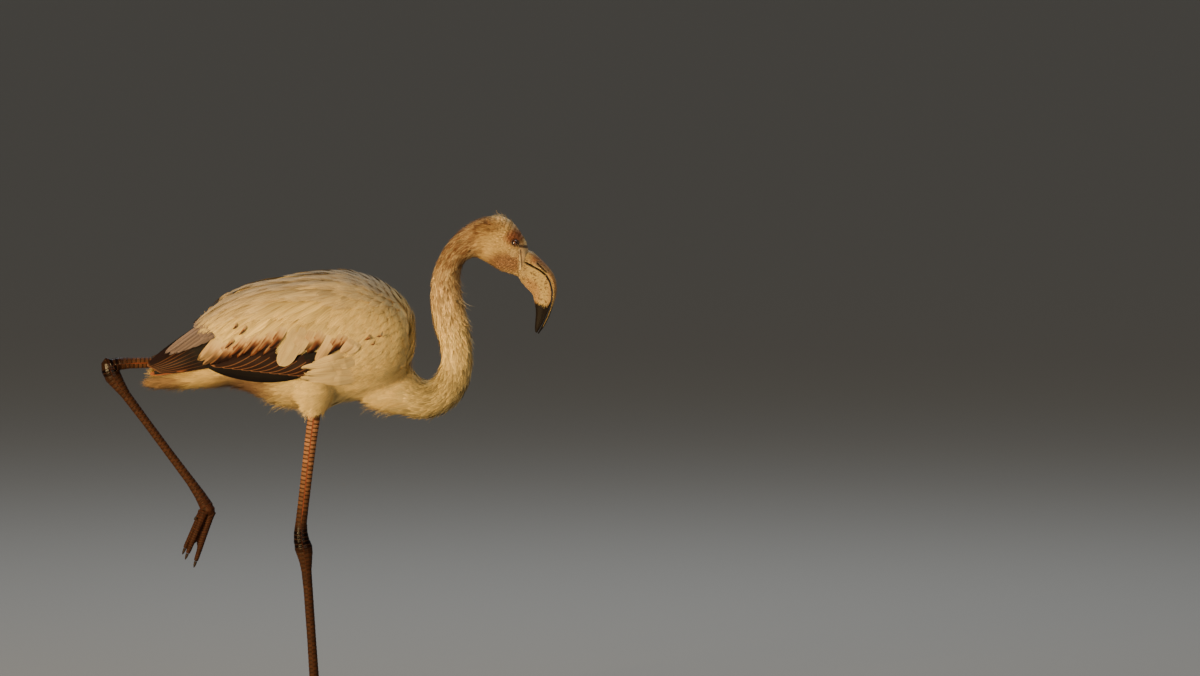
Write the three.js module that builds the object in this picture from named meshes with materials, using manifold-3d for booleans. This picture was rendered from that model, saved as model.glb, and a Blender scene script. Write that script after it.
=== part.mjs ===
// Immature greater flamingo, life size, in mid-stride on its right foot. Millimetres, +Z up.
// The bird faces +X with its right side towards -Y. The origin is on the sole of the right
// foot, under the middle toe. Each solid reaches the tips of the feathers over it.
import * as THREE from "three";
import { mergeVertices } from "three/addons/utils/BufferGeometryUtils.js";
import Module from "manifold-3d";

const wasm = await Module();
wasm.setup();

// ---- Driving dimensions ----------------------------------------------------------------
const GAP = 0.35; // air between solids that meet
const TOE_JOINT_HEIGHT = 10; // centre of the toe joint over the ground
const EYE_RADIUS = 4.8;
const MIDDLE_TOE = 78; // toe joint to the root of the claw
const INNER_TOE = 62;
const OUTER_TOE = 70;
const TOE_SPREAD = THREE.MathUtils.degToRad(36);
const WEB_THICKNESS = 2.2;
const CLAW_LENGTH = 9;
const HIND_CLAW_LENGTH = 5;
const BACK_STRIP = 4; // half the strip of back that shows between the folded wings

// ---- Shape tools -----------------------------------------------------------------------

// A row of numbers at t from 0 to 1 on a Catmull-Rom curve through evenly spaced rows.
function rowAt(rows, t) {
  const place = THREE.MathUtils.clamp(t, 0, 1) * (rows.length - 1);
  const i = Math.min(Math.floor(place), rows.length - 2);
  const f = place - i;
  const [p, q] = [rows[i], rows[i + 1]];
  const before = rows[i - 1] ?? p.map((v, k) => 2 * v - q[k]);
  const after = rows[i + 2] ?? q.map((v, k) => 2 * v - p[k]);
  return p.map((v, k) => {
    const [a, b, c, d] = [before[k], v, q[k], after[k]];
    return b + 0.5 * f * (c - a + f * (2 * a - 5 * b + 4 * c - d + f * (3 * (b - c) + d - a)));
  });
}

// Rows at even steps of t, from one value of t to another.
function rowsBetween(rows, from, to, count) {
  return Array.from({ length: count }, (_, i) => rowAt(rows, from + ((to - from) * i) / (count - 1)));
}

// A closed geometry over rings of Vector3, with a flat cap or a point at each end.
function skinOf(rings) {
  const sides = rings[0].length;
  const points = rings.flat();
  const faces = [];
  for (let i = 0; i + 1 < rings.length; i++)
    for (let k = 0; k < sides; k++) {
      const [a, b] = [i * sides + k, i * sides + ((k + 1) % sides)];
      faces.push([a, b, a + sides], [b, b + sides, a + sides]);
    }
  for (const [ring, first] of [[rings[0], 0], [rings.at(-1), (rings.length - 1) * sides]]) {
    const centre = ring.reduce((sum, p) => sum.add(p), new THREE.Vector3()).divideScalar(sides);
    const hub = points.push(centre) - 1;
    for (let k = 0; k < sides; k++) {
      const [a, b] = [first + k, first + ((k + 1) % sides)];
      faces.push(first ? [a, b, hub] : [b, a, hub]);
    }
  }
  const volume = faces.reduce((sum, [a, b, c]) => {
    return sum + points[a].dot(new THREE.Vector3().crossVectors(points[b], points[c]));
  }, 0);
  if (volume < 0) faces.forEach((f) => f.reverse());
  const geometry = new THREE.BufferGeometry().setFromPoints(points);
  return geometry.setIndex(faces.flat());
}

// Rings between an upper and a lower profile line: rows of upper x, z, lower x, z and half
// the width. wide says how far up the section its widest level is, and grow swells it.
function profileRings(rows, sides, { wide = 0.5, grow = 0, y = 0 } = {}) {
  return rows.map(([ux, uz, lx, lz, half]) => {
    const up = new THREE.Vector3(ux - lx, 0, uz - lz);
    const height = up.length();
    up.normalize();
    const middle = new THREE.Vector3(lx, y, lz).addScaledVector(up, height * wide);
    return Array.from({ length: sides }, (_, k) => {
      const a = (2 * Math.PI * k) / sides;
      const reach = (Math.cos(a) > 0 ? height * (1 - wide) : height * wide) + grow;
      const point = middle.clone().addScaledVector(up, Math.cos(a) * reach);
      point.y += Math.sin(a) * (half + grow);
      return point;
    });
  });
}

// Rings square to a path: rows of x, y, z, half the depth and half the width, which runs
// along side. grow swells them and draws the end rings out by as much.
function limbRings(rows, sides, { side = new THREE.Vector3(0, 1, 0), grow = 0 } = {}) {
  const at = rows.map(([x, y, z]) => new THREE.Vector3(x, y, z));
  return rows.map(([, , , depth, half], i) => {
    const along = at[Math.min(i + 1, at.length - 1)].clone().sub(at[Math.max(i - 1, 0)]).normalize();
    const across = side.clone().addScaledVector(along, -side.dot(along)).normalize();
    const front = new THREE.Vector3().crossVectors(along, across);
    const outwards = i === 0 ? -grow : i === at.length - 1 ? grow : 0;
    const middle = at[i].clone().addScaledVector(along, outwards);
    return Array.from({ length: sides }, (_, k) => {
      const a = (2 * Math.PI * k) / sides;
      return middle
        .clone()
        .addScaledVector(front, Math.cos(a) * (depth + grow))
        .addScaledVector(across, Math.sin(a) * (half + grow));
    });
  });
}

// A geometry as a manifold-3d solid, and back.
function solid(geometry) {
  const bare = geometry.clone();
  bare.deleteAttribute("normal");
  bare.deleteAttribute("uv");
  const merged = mergeVertices(bare, 1e-4);
  return new wasm.Manifold(
    new wasm.Mesh({
      numProp: 3,
      vertProperties: merged.attributes.position.array,
      triVerts: new Uint32Array(merged.index.array),
    }),
  );
}

function geometryOf(made) {
  const mesh = made.getMesh();
  const geometry = new THREE.BufferGeometry();
  geometry.setAttribute("position", new THREE.BufferAttribute(new Float32Array(mesh.vertProperties), 3));
  geometry.setIndex(new THREE.BufferAttribute(new Uint32Array(mesh.triVerts), 1));
  return geometry;
}

// The largest of the bodies that a cut leaves, without its stray slivers.
function largest(made) {
  return made.decompose().reduce((best, one) => (one.volume() > best.volume() ? one : best));
}

function cut(made, ...others) {
  return largest(others.reduce((left, other) => left.subtract(other), made));
}

function joined(...solids) {
  return solids.reduce((all, one) => all.add(one));
}

const limb = (rows, sides, options) => solid(skinOf(limbRings(rows, sides, options)));
const profile = (rows, sides, options) => solid(skinOf(profileRings(rows, sides, options)));

// A prism across the bird over a smooth outline seen from its side, from one y to another.
function sidePrism(outline, fromY, toY) {
  const shape = new THREE.Shape();
  shape.moveTo(...outline[0]);
  shape.splineThru([...outline.slice(1), outline[0]].map(([x, z]) => new THREE.Vector2(x, z)));
  const geometry = new THREE.ExtrudeGeometry(shape, {
    depth: toY - fromY,
    bevelEnabled: false,
    curveSegments: 2,
  });
  return solid(geometry.rotateX(Math.PI / 2).translate(0, toY, 0));
}

// ---- Materials -------------------------------------------------------------------------
const finish = (color, roughness) => new THREE.MeshStandardMaterial({ color, roughness, metalness: 0 });
const materials = {
  plumage: finish(0xe3cfae, 0.9),
  quills: finish(0x4a2a1c, 0.75),
  neck: finish(0xcda981, 0.9),
  bill: finish(0xcfa67e, 0.4),
  horn: finish(0x171210, 0.25),
  eye: finish(0x3a1a10, 0.1),
  scutes: finish(0x8a5238, 0.5),
};

const bird = new THREE.Group();
bird.name = "greater_flamingo";

function place(name, made, material) {
  const mesh = new THREE.Mesh(geometryOf(made), materials[material]);
  mesh.name = name;
  bird.add(mesh);
}

// ---- Trunk -----------------------------------------------------------------------------
// Back and belly lines from the root of the tail to the breast: back x, z, belly x, z and
// half the width.
const TRUNK = [
  [-250, 534, -250, 515, 7],
  [-224, 547, -224, 505, 18],
  [-195, 562, -195, 501, 28],
  [-164, 588, -164, 499.5, 42],
  [-130, 618, -130, 497, 56],
  [-94, 645, -97, 483, 68],
  [-52, 660, -57, 468, 76],
  [-8, 668, -10, 466, 80],
  [34, 671, 37, 477, 80],
  [74, 661, 78, 483, 76],
  [105, 643, 110, 497, 66],
  [126, 618, 129, 521, 50],
  [135.5, 592, 136, 556, 26],
  [137, 578, 137, 574, 3],
];
const TRUNK_WIDE = 0.52;

function trunkSolid(grow) {
  return profile(rowsBetween(TRUNK, 0, 1, 19), 20, { wide: TRUNK_WIDE, grow });
}

// ---- Folded wings ----------------------------------------------------------------------
// The outside of both wings together, from the tips of the inner quills to the shoulders.
const WING_COVER = [
  [-262, 541, -262, 528, 16],
  [-232, 563, -230, 522, 27],
  [-188, 606, -188, 513, 45],
  [-142, 646, -142, 503, 66],
  [-94, 664, -94, 492, 80],
  [-38, 673, -38, 488, 87],
  [22, 680, 22, 488, 89],
  [71, 669, 71, 495, 84],
  [107, 649, 108, 512, 73],
  [129, 622, 130, 540, 55],
  [138, 596, 138, 560, 28],
  [140, 580, 140, 576, 3],
];
// The edge of one wing's pale cover from the side, round from the shoulder: the longest
// pale feathers hang at -55 and -178, and the inner quills lie above the dark primaries.
const COVER_EDGE = [
  [137, 600],
  [120, 562],
  [80, 541],
  [25, 553],
  [-18, 554],
  [-55, 533],
  [-92, 555],
  [-135, 551],
  [-178, 531],
  [-190, 551],
  [-232, 550],
  [-272, 533],
  [-276, 545],
  [-200, 640],
  [-60, 705],
  [70, 700],
  [125, 655],
];
// The dark secondaries that hang below it, over the flank.
const QUILL_EDGE = [
  [34, 566],
  [30, 549],
  [8, 529],
  [-38, 513],
  [-78, 507],
  [-125, 511],
  [-165, 521],
  [-196, 525],
  [-190, 556],
  [-120, 572],
  [-40, 572],
];
// The tips of the primaries from root to point: x, y on the right side, z, half the height
// and half the thickness of the bundle.
const PRIMARIES = [
  [-150, 52, 547, 17, 4],
  [-187, 43, 545, 20, 5.5],
  [-225, 32, 538, 16, 5],
  [-255, 25, 530, 8.5, 3.5],
  [-268, 22, 525.5, 4, 2],
];
const WING_PRISM_REACH = 130;
const QUILL_BAND_GROW = 5.5;

function wingCover(grow) {
  return profile(rowsBetween(WING_COVER, 0, 1, 17), 20, { wide: TRUNK_WIDE, grow });
}

// One side of a prism over an outline, from the back strip out past the wing.
function sidePart(outline, side) {
  const [near, far] = [side * BACK_STRIP, side * WING_PRISM_REACH];
  return sidePrism(outline, Math.min(near, far), Math.max(near, far));
}

// ---- Tail ------------------------------------------------------------------------------
const TAIL = [
  [-130, 540, -130, 500, 34],
  [-175, 533, -180, 497.5, 33],
  [-215, 526, -222, 496, 31],
  [-248, 519, -252, 496.5, 27],
  [-268, 513, -268, 501, 20],
];

// ---- Neck ------------------------------------------------------------------------------
// Its middle line from inside the breast up to the nape: x, y, z, half depth, half width.
const NECK = [
  [58, 0, 524, 42, 44],
  [90, 0, 505, 41, 40],
  [122, 0, 490, 36.5, 34],
  [147, 0, 481, 31, 27.5],
  [173, 0, 488, 29, 25],
  [190.5, 0, 509, 27, 23.5],
  [197.5, 0, 538, 25, 22],
  [195, 0, 568, 25, 21],
  [187, 0, 600, 27, 20.5],
  [180.5, 0, 640, 23.8, 18.5],
  [181.5, 0, 668, 21, 17.3],
  [189, 0, 690, 19.2, 16.8],
  [201.5, 0, 707, 20.8, 17.8],
  [217, 0, 716.5, 25, 20],
];
const NECK_NAMES = ["neck_base", "neck_bend", "neck_rise", "neck_upper", "neck_nape"];
const RINGS_PER_LENGTH = 5;
const NECK_SIDES = 16;
const NECK_PARTING = 0.06; // share of a ring's spacing that parts two lengths

// ---- Head ------------------------------------------------------------------------------
// Crown and throat lines from the nape to the bill: crown x, z, throat x, z, half width.
const HEAD = [
  [206, 739.5, 226.5, 693.5, 20],
  [225, 751.5, 234, 690.5, 22.5],
  [244.5, 757, 244.5, 684.5, 24.5],
  [263, 759.5, 255, 677.5, 25.5],
  [280, 750.5, 267, 671.5, 25],
  [291.5, 736.5, 279, 668.5, 22],
  [300.5, 721.5, 287.5, 665.5, 18.5],
  [306, 708, 293.5, 661.5, 15.5],
];
const HEAD_WIDE = 0.55;
const EYE = { x: 284.3, y: 18.4, z: 717 };

// ---- Bill ------------------------------------------------------------------------------
// Ridge, mouth line and keel from the base to the tip: ridge x, z, mouth x, z, keel x, z,
// half the width at the mouth line.
const BILL = [
  [306.5, 707, 301.8, 688.3, 294.2, 661.5, 15],
  [319, 695.8, 310, 682.8, 299.5, 650, 14.6],
  [330.6, 684.4, 321.5, 676.2, 306.5, 643.5, 14],
  [340, 673.4, 331, 668, 311, 638, 13],
  [345.6, 661, 337.2, 657.5, 312.3, 633, 12],
  [347.4, 645.8, 340.3, 643.5, 313.3, 627, 11],
  [345, 631.3, 339.6, 630.8, 315, 619.5, 9.8],
  [340.4, 617.6, 336.2, 618.8, 315.5, 612, 8.5],
  [334.6, 602.3, 330.6, 604.5, 315, 601.5, 7],
  [327.6, 589.5, 324.2, 591.8, 314, 590.3, 5.4],
  [319.6, 579, 317.8, 580.6, 314.6, 582.3, 2.6],
];
const MOUTH_GAP = 0.5; // each half of the bill stands this far from the mouth line
const BLACK_TIP = { upper: 0.57, lower: 0.64 }; // share of the rows where the black starts

// Rings of one half of the bill: a flat side along the mouth line and a rounded back that
// reaches the ridge (upper) or the keel (lower). power squares the rounding.
function billRings(rows, sides, upper, power) {
  return rows.map((row) => {
    const mouth = new THREE.Vector3(row[2], 0, row[3]);
    const reach = new THREE.Vector3(upper ? row[0] : row[4], 0, upper ? row[1] : row[5]).sub(mouth);
    const depth = reach.length() - MOUTH_GAP;
    reach.normalize();
    return Array.from({ length: sides }, (_, k) => {
      const a = (Math.PI * k) / (sides - 1);
      const out = Math.sin(a) ** power;
      return mouth
        .clone()
        .addScaledVector(reach, MOUTH_GAP + depth * out)
        .add(new THREE.Vector3(0, row[6] * Math.cos(a), 0));
    });
  });
}

// ---- Legs ------------------------------------------------------------------------------
// Each runs down a middle line: x, y, z, half the depth and half the width. A thigh's
// feathers end at the bare shank, the shank ends inside the knob of the ankle, and the
// tarsus starts with that knob. The right leg stands and the left one trails, lifted.
const THIGH_RIGHT = [
  [-16, -40, 522, 34, 28],
  [-14, -44, 492, 32, 27],
  [-13, -44, 472, 21, 19],
  [-15, -42.5, 462, 12.5, 12],
  [-16, -42, 455.5, 10.4, 9.6],
];
const SHANK_RIGHT = [
  [-16, -42, 455, 9.8, 8.4],
  [-20, -40, 427, 9.2, 7.8],
  [-26, -37, 377, 8.8, 7.4],
  [-32, -32, 327, 8.6, 7.2],
  [-35.4, -30, 299, 8.8, 7.4],
  [-36.2, -29, 283, 10.6, 8.8],
  [-34.6, -28, 268, 12.4, 10],
];
const TARSUS_RIGHT = [
  [-34.4, -28, 275, 7, 6],
  [-34, -27.6, 269.5, 12, 9.6],
  [-32.2, -27, 260.5, 13.8, 10.8],
  [-30.3, -26.3, 251, 12.2, 9.6],
  [-28.9, -25.4, 240, 10, 8],
  [-27.8, -24, 225, 7.9, 6.6],
  [-25.2, -22, 194, 7.2, 6],
  [-20.5, -15, 120, 7, 5.8],
  [-16, -5.5, 45, 7.6, 6.6],
  [-14.4, -2.6, 22, 8.8, 8.6],
  [-13.6, -1.4, 12, 9.2, 9],
];
const THIGH_LEFT = [
  [-40, 50, 540, 30, 24],
  [-80, 56, 539, 26, 21],
  [-118, 57, 537, 19, 16],
  [-142, 56, 535.5, 12, 11],
  [-150.5, 55.6, 535, 9.8, 9],
];
const SHANK_LEFT = [
  [-151, 55.5, 535, 9, 8.2],
  [-200, 52, 534, 8.6, 7.4],
  [-262, 46, 533, 8.2, 7.2],
  [-295, 43, 532.5, 8.6, 7.6],
  [-310, 42, 531.5, 9.8, 8.8],
  [-324, 41.5, 529, 10, 9],
];
const TARSUS_LEFT = [
  [-325.5, 42, 539.5, 6, 6],
  [-327, 42, 533, 11, 9.4],
  [-324.5, 42, 522, 13.2, 10.8],
  [-319, 41.8, 511, 13, 10.4],
  [-311, 41.4, 499.5, 10.2, 8.4],
  [-301, 41, 485.5, 7.6, 6.6],
  [-273, 40, 448, 6.7, 5.8],
  [-236, 38, 398, 6.6, 5.6],
  [-203, 36, 354, 7.2, 6.2],
  [-190, 35.4, 335, 8.6, 7.6],
  [-179, 35, 316, 10.6, 9.4],
];

// ---- Feet ------------------------------------------------------------------------------
const TOE_RADII = [
  [0, 7, 6.6],
  [0.15, 5.6, 5.4],
  [0.5, 4.8, 4.8],
  [0.92, 4, 4],
  [1, 3.4, 3.6],
];

// One toe from its root to its tip, as limb rows.
function toeRows(root, tip) {
  return TOE_RADII.map(([share, depth, half]) => {
    const at = root.clone().lerp(tip, share);
    return [at.x, at.y, at.z, depth, half];
  });
}

// A web between two toes: a sheet from the joint to a hollowed front edge.
const WEB_STEPS = 4;
const WEB_REACH = 0.92; // how far along the toes it runs
const WEB_HOLLOW = 0.26; // how far its middle falls back
function webSolid(joint, tipA, tipB) {
  const [a, b] = [tipA.clone().sub(joint), tipB.clone().sub(joint)];
  const normal = new THREE.Vector3().crossVectors(a, b).normalize();
  const edge = Array.from({ length: WEB_STEPS + 1 }, (_, i) => {
    const share = i / WEB_STEPS;
    const reach = WEB_REACH - WEB_HOLLOW * Math.sin(Math.PI * share);
    return joint.clone().addScaledVector(a.clone().lerp(b, share), reach);
  });
  const sheets = [WEB_THICKNESS / 2, -WEB_THICKNESS / 2].map((d) => {
    return [joint, ...edge].map((p) => p.clone().addScaledVector(normal, d));
  });
  return solid(skinOf(sheets));
}

// The claw beyond a toe's tip, which it stops GAP short of.
const CLAW = [
  [0, 2.6, 3.2],
  [0.6, 1.9, 2.6],
  [1, 0.6, 0.8],
];
function clawSolid(root, tip, side, length) {
  const along = tip.clone().sub(root).normalize();
  const rows = CLAW.map(([share, depth, half]) => {
    const at = tip.clone().addScaledVector(along, GAP + length * share);
    return [at.x, at.y, at.z - 0.8 * share, depth, half];
  });
  return limb(rows, 6, { side });
}

// ---- Assembly --------------------------------------------------------------------------

// The room that the trunk, tail, legs and neck need where another solid meets them.
const trunkRoom = trunkSolid(GAP);
const tailRows = rowsBetween(TAIL, 0, 1, 6);
const tailRoom = profile(tailRows, 12, { grow: GAP });
const legRooms = {
  right: [limb(THIGH_RIGHT, 14, { grow: GAP })],
  left: [limb(THIGH_LEFT, 14, { grow: GAP }), limb(SHANK_LEFT, 10, { grow: 1 })],
};
const neckRows = rowsBetween(NECK, 0, 1, NECK_NAMES.length * RINGS_PER_LENGTH + 1);
const neckRings = limbRings(neckRows, NECK_SIDES);
const neckRoom = limb(neckRows.slice(0, RINGS_PER_LENGTH + 2), NECK_SIDES, { grow: GAP });

place("trunk", cut(trunkSolid(0), legRooms.left[0], legRooms.right[0]), "plumage");
place("tail", cut(profile(tailRows, 12), trunkRoom), "plumage");

// Each wing: the pale cover, the dark secondaries below it and the tips of the primaries.
for (const [name, side] of Object.entries({ right: -1, left: 1 })) {
  const inTheWay = [trunkRoom, tailRoom, ...legRooms[name]];
  const below = (outline) => sidePart(outline, side).translate([0, 0, -GAP]);
  const cover = wingCover(0).intersect(sidePart(COVER_EDGE, side));
  const band = trunkSolid(QUILL_BAND_GROW).intersect(sidePart(QUILL_EDGE, side));
  const rows = PRIMARIES.map(([x, y, z, depth, half]) => [x, side * y, z, depth, half]);
  const tips = limb(rowsBetween(rows, 0, 1, 7), 10);
  place(`wing_${name}`, cut(cover, ...inTheWay, neckRoom), "plumage");
  place(`secondaries_${name}`, cut(band, below(COVER_EDGE), ...inTheWay), "quills");
  const bandRoom = sidePart(QUILL_EDGE, side).translate([-GAP, 0, 0]);
  place(`primaries_${name}`, cut(tips, below(COVER_EDGE), bandRoom, ...inTheWay), "quills");
}

// The neck in lengths with a thin parting between them, the first fitted round the breast.
NECK_NAMES.forEach((name, i) => {
  const rings = neckRings.slice(i * RINGS_PER_LENGTH, (i + 1) * RINGS_PER_LENGTH + 1);
  const [beforeLast, last] = rings.splice(-2);
  const parted = last.map((p, k) => p.clone().lerp(beforeLast[k], NECK_PARTING));
  const made = solid(skinOf([...rings, beforeLast, parted]));
  place(name, i === 0 ? cut(made, trunkRoom) : made, "neck");
});

// The head starts on the neck's last ring and has a socket for each eye.
const headRings = profileRings(rowsBetween(HEAD, 0.07, 1, 11), NECK_SIDES, { wide: HEAD_WIDE });
const eyeball = (side, radius) => {
  return solid(new THREE.SphereGeometry(radius, 10, 7).translate(EYE.x, side * EYE.y, EYE.z));
};
const sockets = [eyeball(1, EYE_RADIUS + GAP), eyeball(-1, EYE_RADIUS + GAP)];
place("head", cut(solid(skinOf([neckRings.at(-1), ...headRings])), ...sockets), "plumage");
place("eye_left", eyeball(1, EYE_RADIUS), "eye");
place("eye_right", eyeball(-1, EYE_RADIUS), "eye");

// The bill, split along the mouth and where the black starts.
const BILL_START = 0.012; // clear of the face
const BILL_PARTING = 0.003;
for (const [half, squareness] of [["upper", 0.8], ["lower", 0.6]]) {
  const start = BLACK_TIP[half];
  const rings = (from, to, count) => {
    return billRings(rowsBetween(BILL, from, to, count), 11, half === "upper", squareness);
  };
  place(`bill_${half}`, solid(skinOf(rings(BILL_START, start - BILL_PARTING, 8))), "bill");
  place(`bill_${half}_tip`, solid(skinOf(rings(start, 1, 5))), "horn");
}

// A leg from the thigh down to the toes, and the claws beyond them.
function leg(name, thigh, shank, tarsus, joint, toes, side) {
  const tarsusRoom = limb(tarsus, 12, { grow: GAP });
  place(`thigh_${name}`, cut(limb(thigh, 14), limb(shank, 12, { grow: GAP })), "plumage");
  place(`shank_${name}`, cut(limb(shank, 12), tarsusRoom), "scutes");
  place(`tarsus_${name}`, limb(tarsus, 12), "scutes");
  const digits = Object.values(toes).map(({ root, tip }) => limb(toeRows(root, tip), 7, { side }));
  const knuckle = solid(new THREE.SphereGeometry(TOE_JOINT_HEIGHT, 9, 6).translate(...joint.toArray()));
  const webs = [
    webSolid(toes.middle.webRoot, toes.inner.webTip, toes.middle.webTip),
    webSolid(toes.middle.webRoot, toes.middle.webTip, toes.outer.webTip),
  ];
  place(`foot_${name}`, cut(joined(knuckle, ...digits, ...webs), tarsusRoom, ground), "scutes");
  for (const [toe, { root, tip }] of Object.entries(toes)) {
    const length = toe === "hind" ? HIND_CLAW_LENGTH : CLAW_LENGTH;
    place(`claw_${toe}_${name}`, clawSolid(root, tip, side, length), "horn");
  }
}

// The standing foot lies on the ground with its toes spread; its webs run just over it.
const ground = solid(new THREE.BoxGeometry(300, 300, 60).translate(0, 0, -30));
const jointRight = new THREE.Vector3(-13, -0.5, TOE_JOINT_HEIGHT);
const TOE_ROOT_HEIGHT = 4.8; // low enough that the pads under the toes are cut flat
const TOE_TIP_HEIGHT = 3;
const WEB_HEIGHT = 1.8;
function spreadToe(length, angle) {
  const tip = new THREE.Vector3(length * Math.cos(angle), length * Math.sin(angle), 0).add(jointRight);
  tip.z = TOE_TIP_HEIGHT;
  return {
    root: jointRight.clone().setZ(TOE_ROOT_HEIGHT),
    tip,
    webRoot: jointRight.clone().setZ(WEB_HEIGHT),
    webTip: tip.clone().setZ(WEB_HEIGHT),
  };
}
const hindTip = jointRight.clone().add(new THREE.Vector3(-19, 4, 0)).setZ(TOE_TIP_HEIGHT);
const spread = {
  inner: spreadToe(INNER_TOE, TOE_SPREAD),
  middle: spreadToe(MIDDLE_TOE, 0),
  outer: spreadToe(OUTER_TOE, -TOE_SPREAD),
  hind: { root: jointRight, tip: hindTip },
};
leg("right", THIGH_RIGHT, SHANK_RIGHT, TARSUS_RIGHT, jointRight, spread, new THREE.Vector3(0, 1, 0.001));

// The lifted foot's toes hang together with the webs folded between them.
const jointLeft = new THREE.Vector3(-176.5, 35, 312);
function hangingToe(rootX, rootY, tipX, tipY, tipZ) {
  const [root, tip] = [new THREE.Vector3(rootX, rootY, 310), new THREE.Vector3(tipX, tipY, tipZ)];
  return { root, tip, webRoot: jointLeft, webTip: tip };
}
const hanging = {
  inner: hangingToe(-182, 30, -208, 26, 247),
  middle: hangingToe(-171.5, 35, -196, 33, 234.5),
  outer: hangingToe(-186, 41, -212.5, 42, 253),
  hind: { root: jointLeft, tip: new THREE.Vector3(-194, 33, 301) },
};
leg("left", THIGH_LEFT, SHANK_LEFT, TARSUS_LEFT, jointLeft, hanging, new THREE.Vector3(0, 1, 0));

export default bird;
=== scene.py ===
import bpy
import numpy as np
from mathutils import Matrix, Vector
from mathutils.bvhtree import BVHTree
from mathutils.kdtree import KDTree


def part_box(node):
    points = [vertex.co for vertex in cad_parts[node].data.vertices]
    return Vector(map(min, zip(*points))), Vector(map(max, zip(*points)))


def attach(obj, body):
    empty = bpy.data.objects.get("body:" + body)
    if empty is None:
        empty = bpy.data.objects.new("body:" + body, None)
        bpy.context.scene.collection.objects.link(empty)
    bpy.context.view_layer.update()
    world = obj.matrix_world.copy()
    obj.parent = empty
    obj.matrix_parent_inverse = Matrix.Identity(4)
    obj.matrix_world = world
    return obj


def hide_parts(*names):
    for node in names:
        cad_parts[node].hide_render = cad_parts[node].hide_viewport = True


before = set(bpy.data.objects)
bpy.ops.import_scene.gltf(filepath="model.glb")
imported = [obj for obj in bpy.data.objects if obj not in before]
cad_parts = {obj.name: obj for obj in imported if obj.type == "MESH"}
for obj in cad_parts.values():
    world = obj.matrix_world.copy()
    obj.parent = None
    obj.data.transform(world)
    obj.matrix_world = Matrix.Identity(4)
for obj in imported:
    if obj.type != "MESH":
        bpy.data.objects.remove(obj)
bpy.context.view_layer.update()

MM = 0.001

# ---- Hide ----------------------------------------------------------------------------
# The bird's skin, one closed hide from the tail to the edge of the bill, over trunk, folded
# wings, thighs, neck and head. It lies inside the feathers by their depth, and is made by
# melting the frame's solids together and drawing the result inwards.
FLESH = ["trunk", "tail", "wing_left", "wing_right", "thigh_left", "thigh_right", "neck_base"]
FLESH += ["neck_bend", "neck_rise", "neck_upper", "neck_nape", "head"]
HIDE_GRAIN = 2.9 * MM
SOCKET_RADIUS = 4.6 * MM
EYE = np.array(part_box("eye_right")).mean(0)


def solids_of(names):
    """The vertices and triangles of frame nodes together, and the name index of each triangle."""
    points, faces, owner, base = [], [], [], 0
    for index, name in enumerate(names):
        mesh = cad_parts[name].data
        mesh.calc_loop_triangles()
        co = np.empty(3 * len(mesh.vertices), np.float32)
        mesh.vertices.foreach_get("co", co)
        tri = np.empty(3 * len(mesh.loop_triangles), np.int32)
        mesh.loop_triangles.foreach_get("vertices", tri)
        points.append(co.reshape(-1, 3))
        faces.append(tri.reshape(-1, 3) + base)
        owner.append(np.full(len(tri) // 3, index))
        base += len(co) // 3
    return np.concatenate(points).astype(float), np.concatenate(faces), np.concatenate(owner)


def mesh_from(name, points, faces):
    """A mesh of points (n, 3) and faces (m, 3) or (m, 4)."""
    mesh = bpy.data.meshes.new(name)
    mesh.vertices.add(len(points))
    mesh.vertices.foreach_set("co", np.asarray(points, np.float32).ravel())
    mesh.loops.add(faces.size)
    mesh.loops.foreach_set("vertex_index", faces.ravel().astype(np.int32))
    mesh.polygons.add(len(faces))
    mesh.polygons.foreach_set("loop_start", np.arange(0, faces.size, faces.shape[1], dtype=np.int32))
    mesh.update(calc_edges=True)
    mesh.validate()
    mesh.shade_smooth()
    return mesh


def gathered(at, vectors, count):
    """The sum of the vectors (m, 3) that fall on each of count places at (m)."""
    return np.stack([np.bincount(at, vectors[:, k], count) for k in range(3)], 1)


def relaxed(points, quads, rounds):
    """Points moved half way to the mean of their neighbours, rounds times over."""
    a, b = quads.ravel(), np.roll(quads, -1, 1).ravel()
    count = np.bincount(a, minlength=len(points))[:, None]
    for _ in range(rounds):
        points = points + 0.5 * (gathered(a, points[b], len(points)) / count - points)
    return points


def melted(names, grain, rounds, extra=()):
    """Frame nodes melted into one closed surface of quads about grain across, then relaxed.
    Returns points and quads."""
    points, faces, _ = solids_of(names)
    for more_points, more_faces in extra:
        faces = np.concatenate([faces, more_faces + len(points)])
        points = np.concatenate([points, more_points])
    source = bpy.data.objects.new("melt", mesh_from("melt", points, faces))
    bpy.context.scene.collection.objects.link(source)
    remesh = source.modifiers.new("melt", "REMESH")
    remesh.mode = "VOXEL"
    remesh.voxel_size = grain
    made = bpy.data.meshes.new_from_object(source.evaluated_get(bpy.context.evaluated_depsgraph_get()))
    bpy.data.objects.remove(source)
    co = np.empty(3 * len(made.vertices), np.float32)
    made.vertices.foreach_get("co", co)
    quads = np.empty(4 * len(made.polygons), np.int32)
    made.loops.foreach_get("vertex_index", quads)
    bpy.data.meshes.remove(made)
    quads = quads.reshape(-1, 4)
    return relaxed(co.reshape(-1, 3).astype(float), quads, rounds), quads


def unit(vectors):
    """Each vector over its length."""
    return vectors / np.maximum(np.linalg.norm(vectors, axis=-1, keepdims=True), 1e-12)


def normals_of(points, quads):
    """Outward vertex normals: the sum of the crossed diagonals of the quads round a vertex."""
    p = points[quads]
    across = np.cross(p[:, 2] - p[:, 0], p[:, 3] - p[:, 1])
    return unit(gathered(quads.ravel(), np.repeat(across, 4, 0), len(points)))


def smooth(x, low, high):
    """0 below low, 1 above high and an S-curve between, also where low is above high."""
    t = np.clip((x - low) / (high - low), 0, 1)
    return t * t * (3 - 2 * t)


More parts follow.
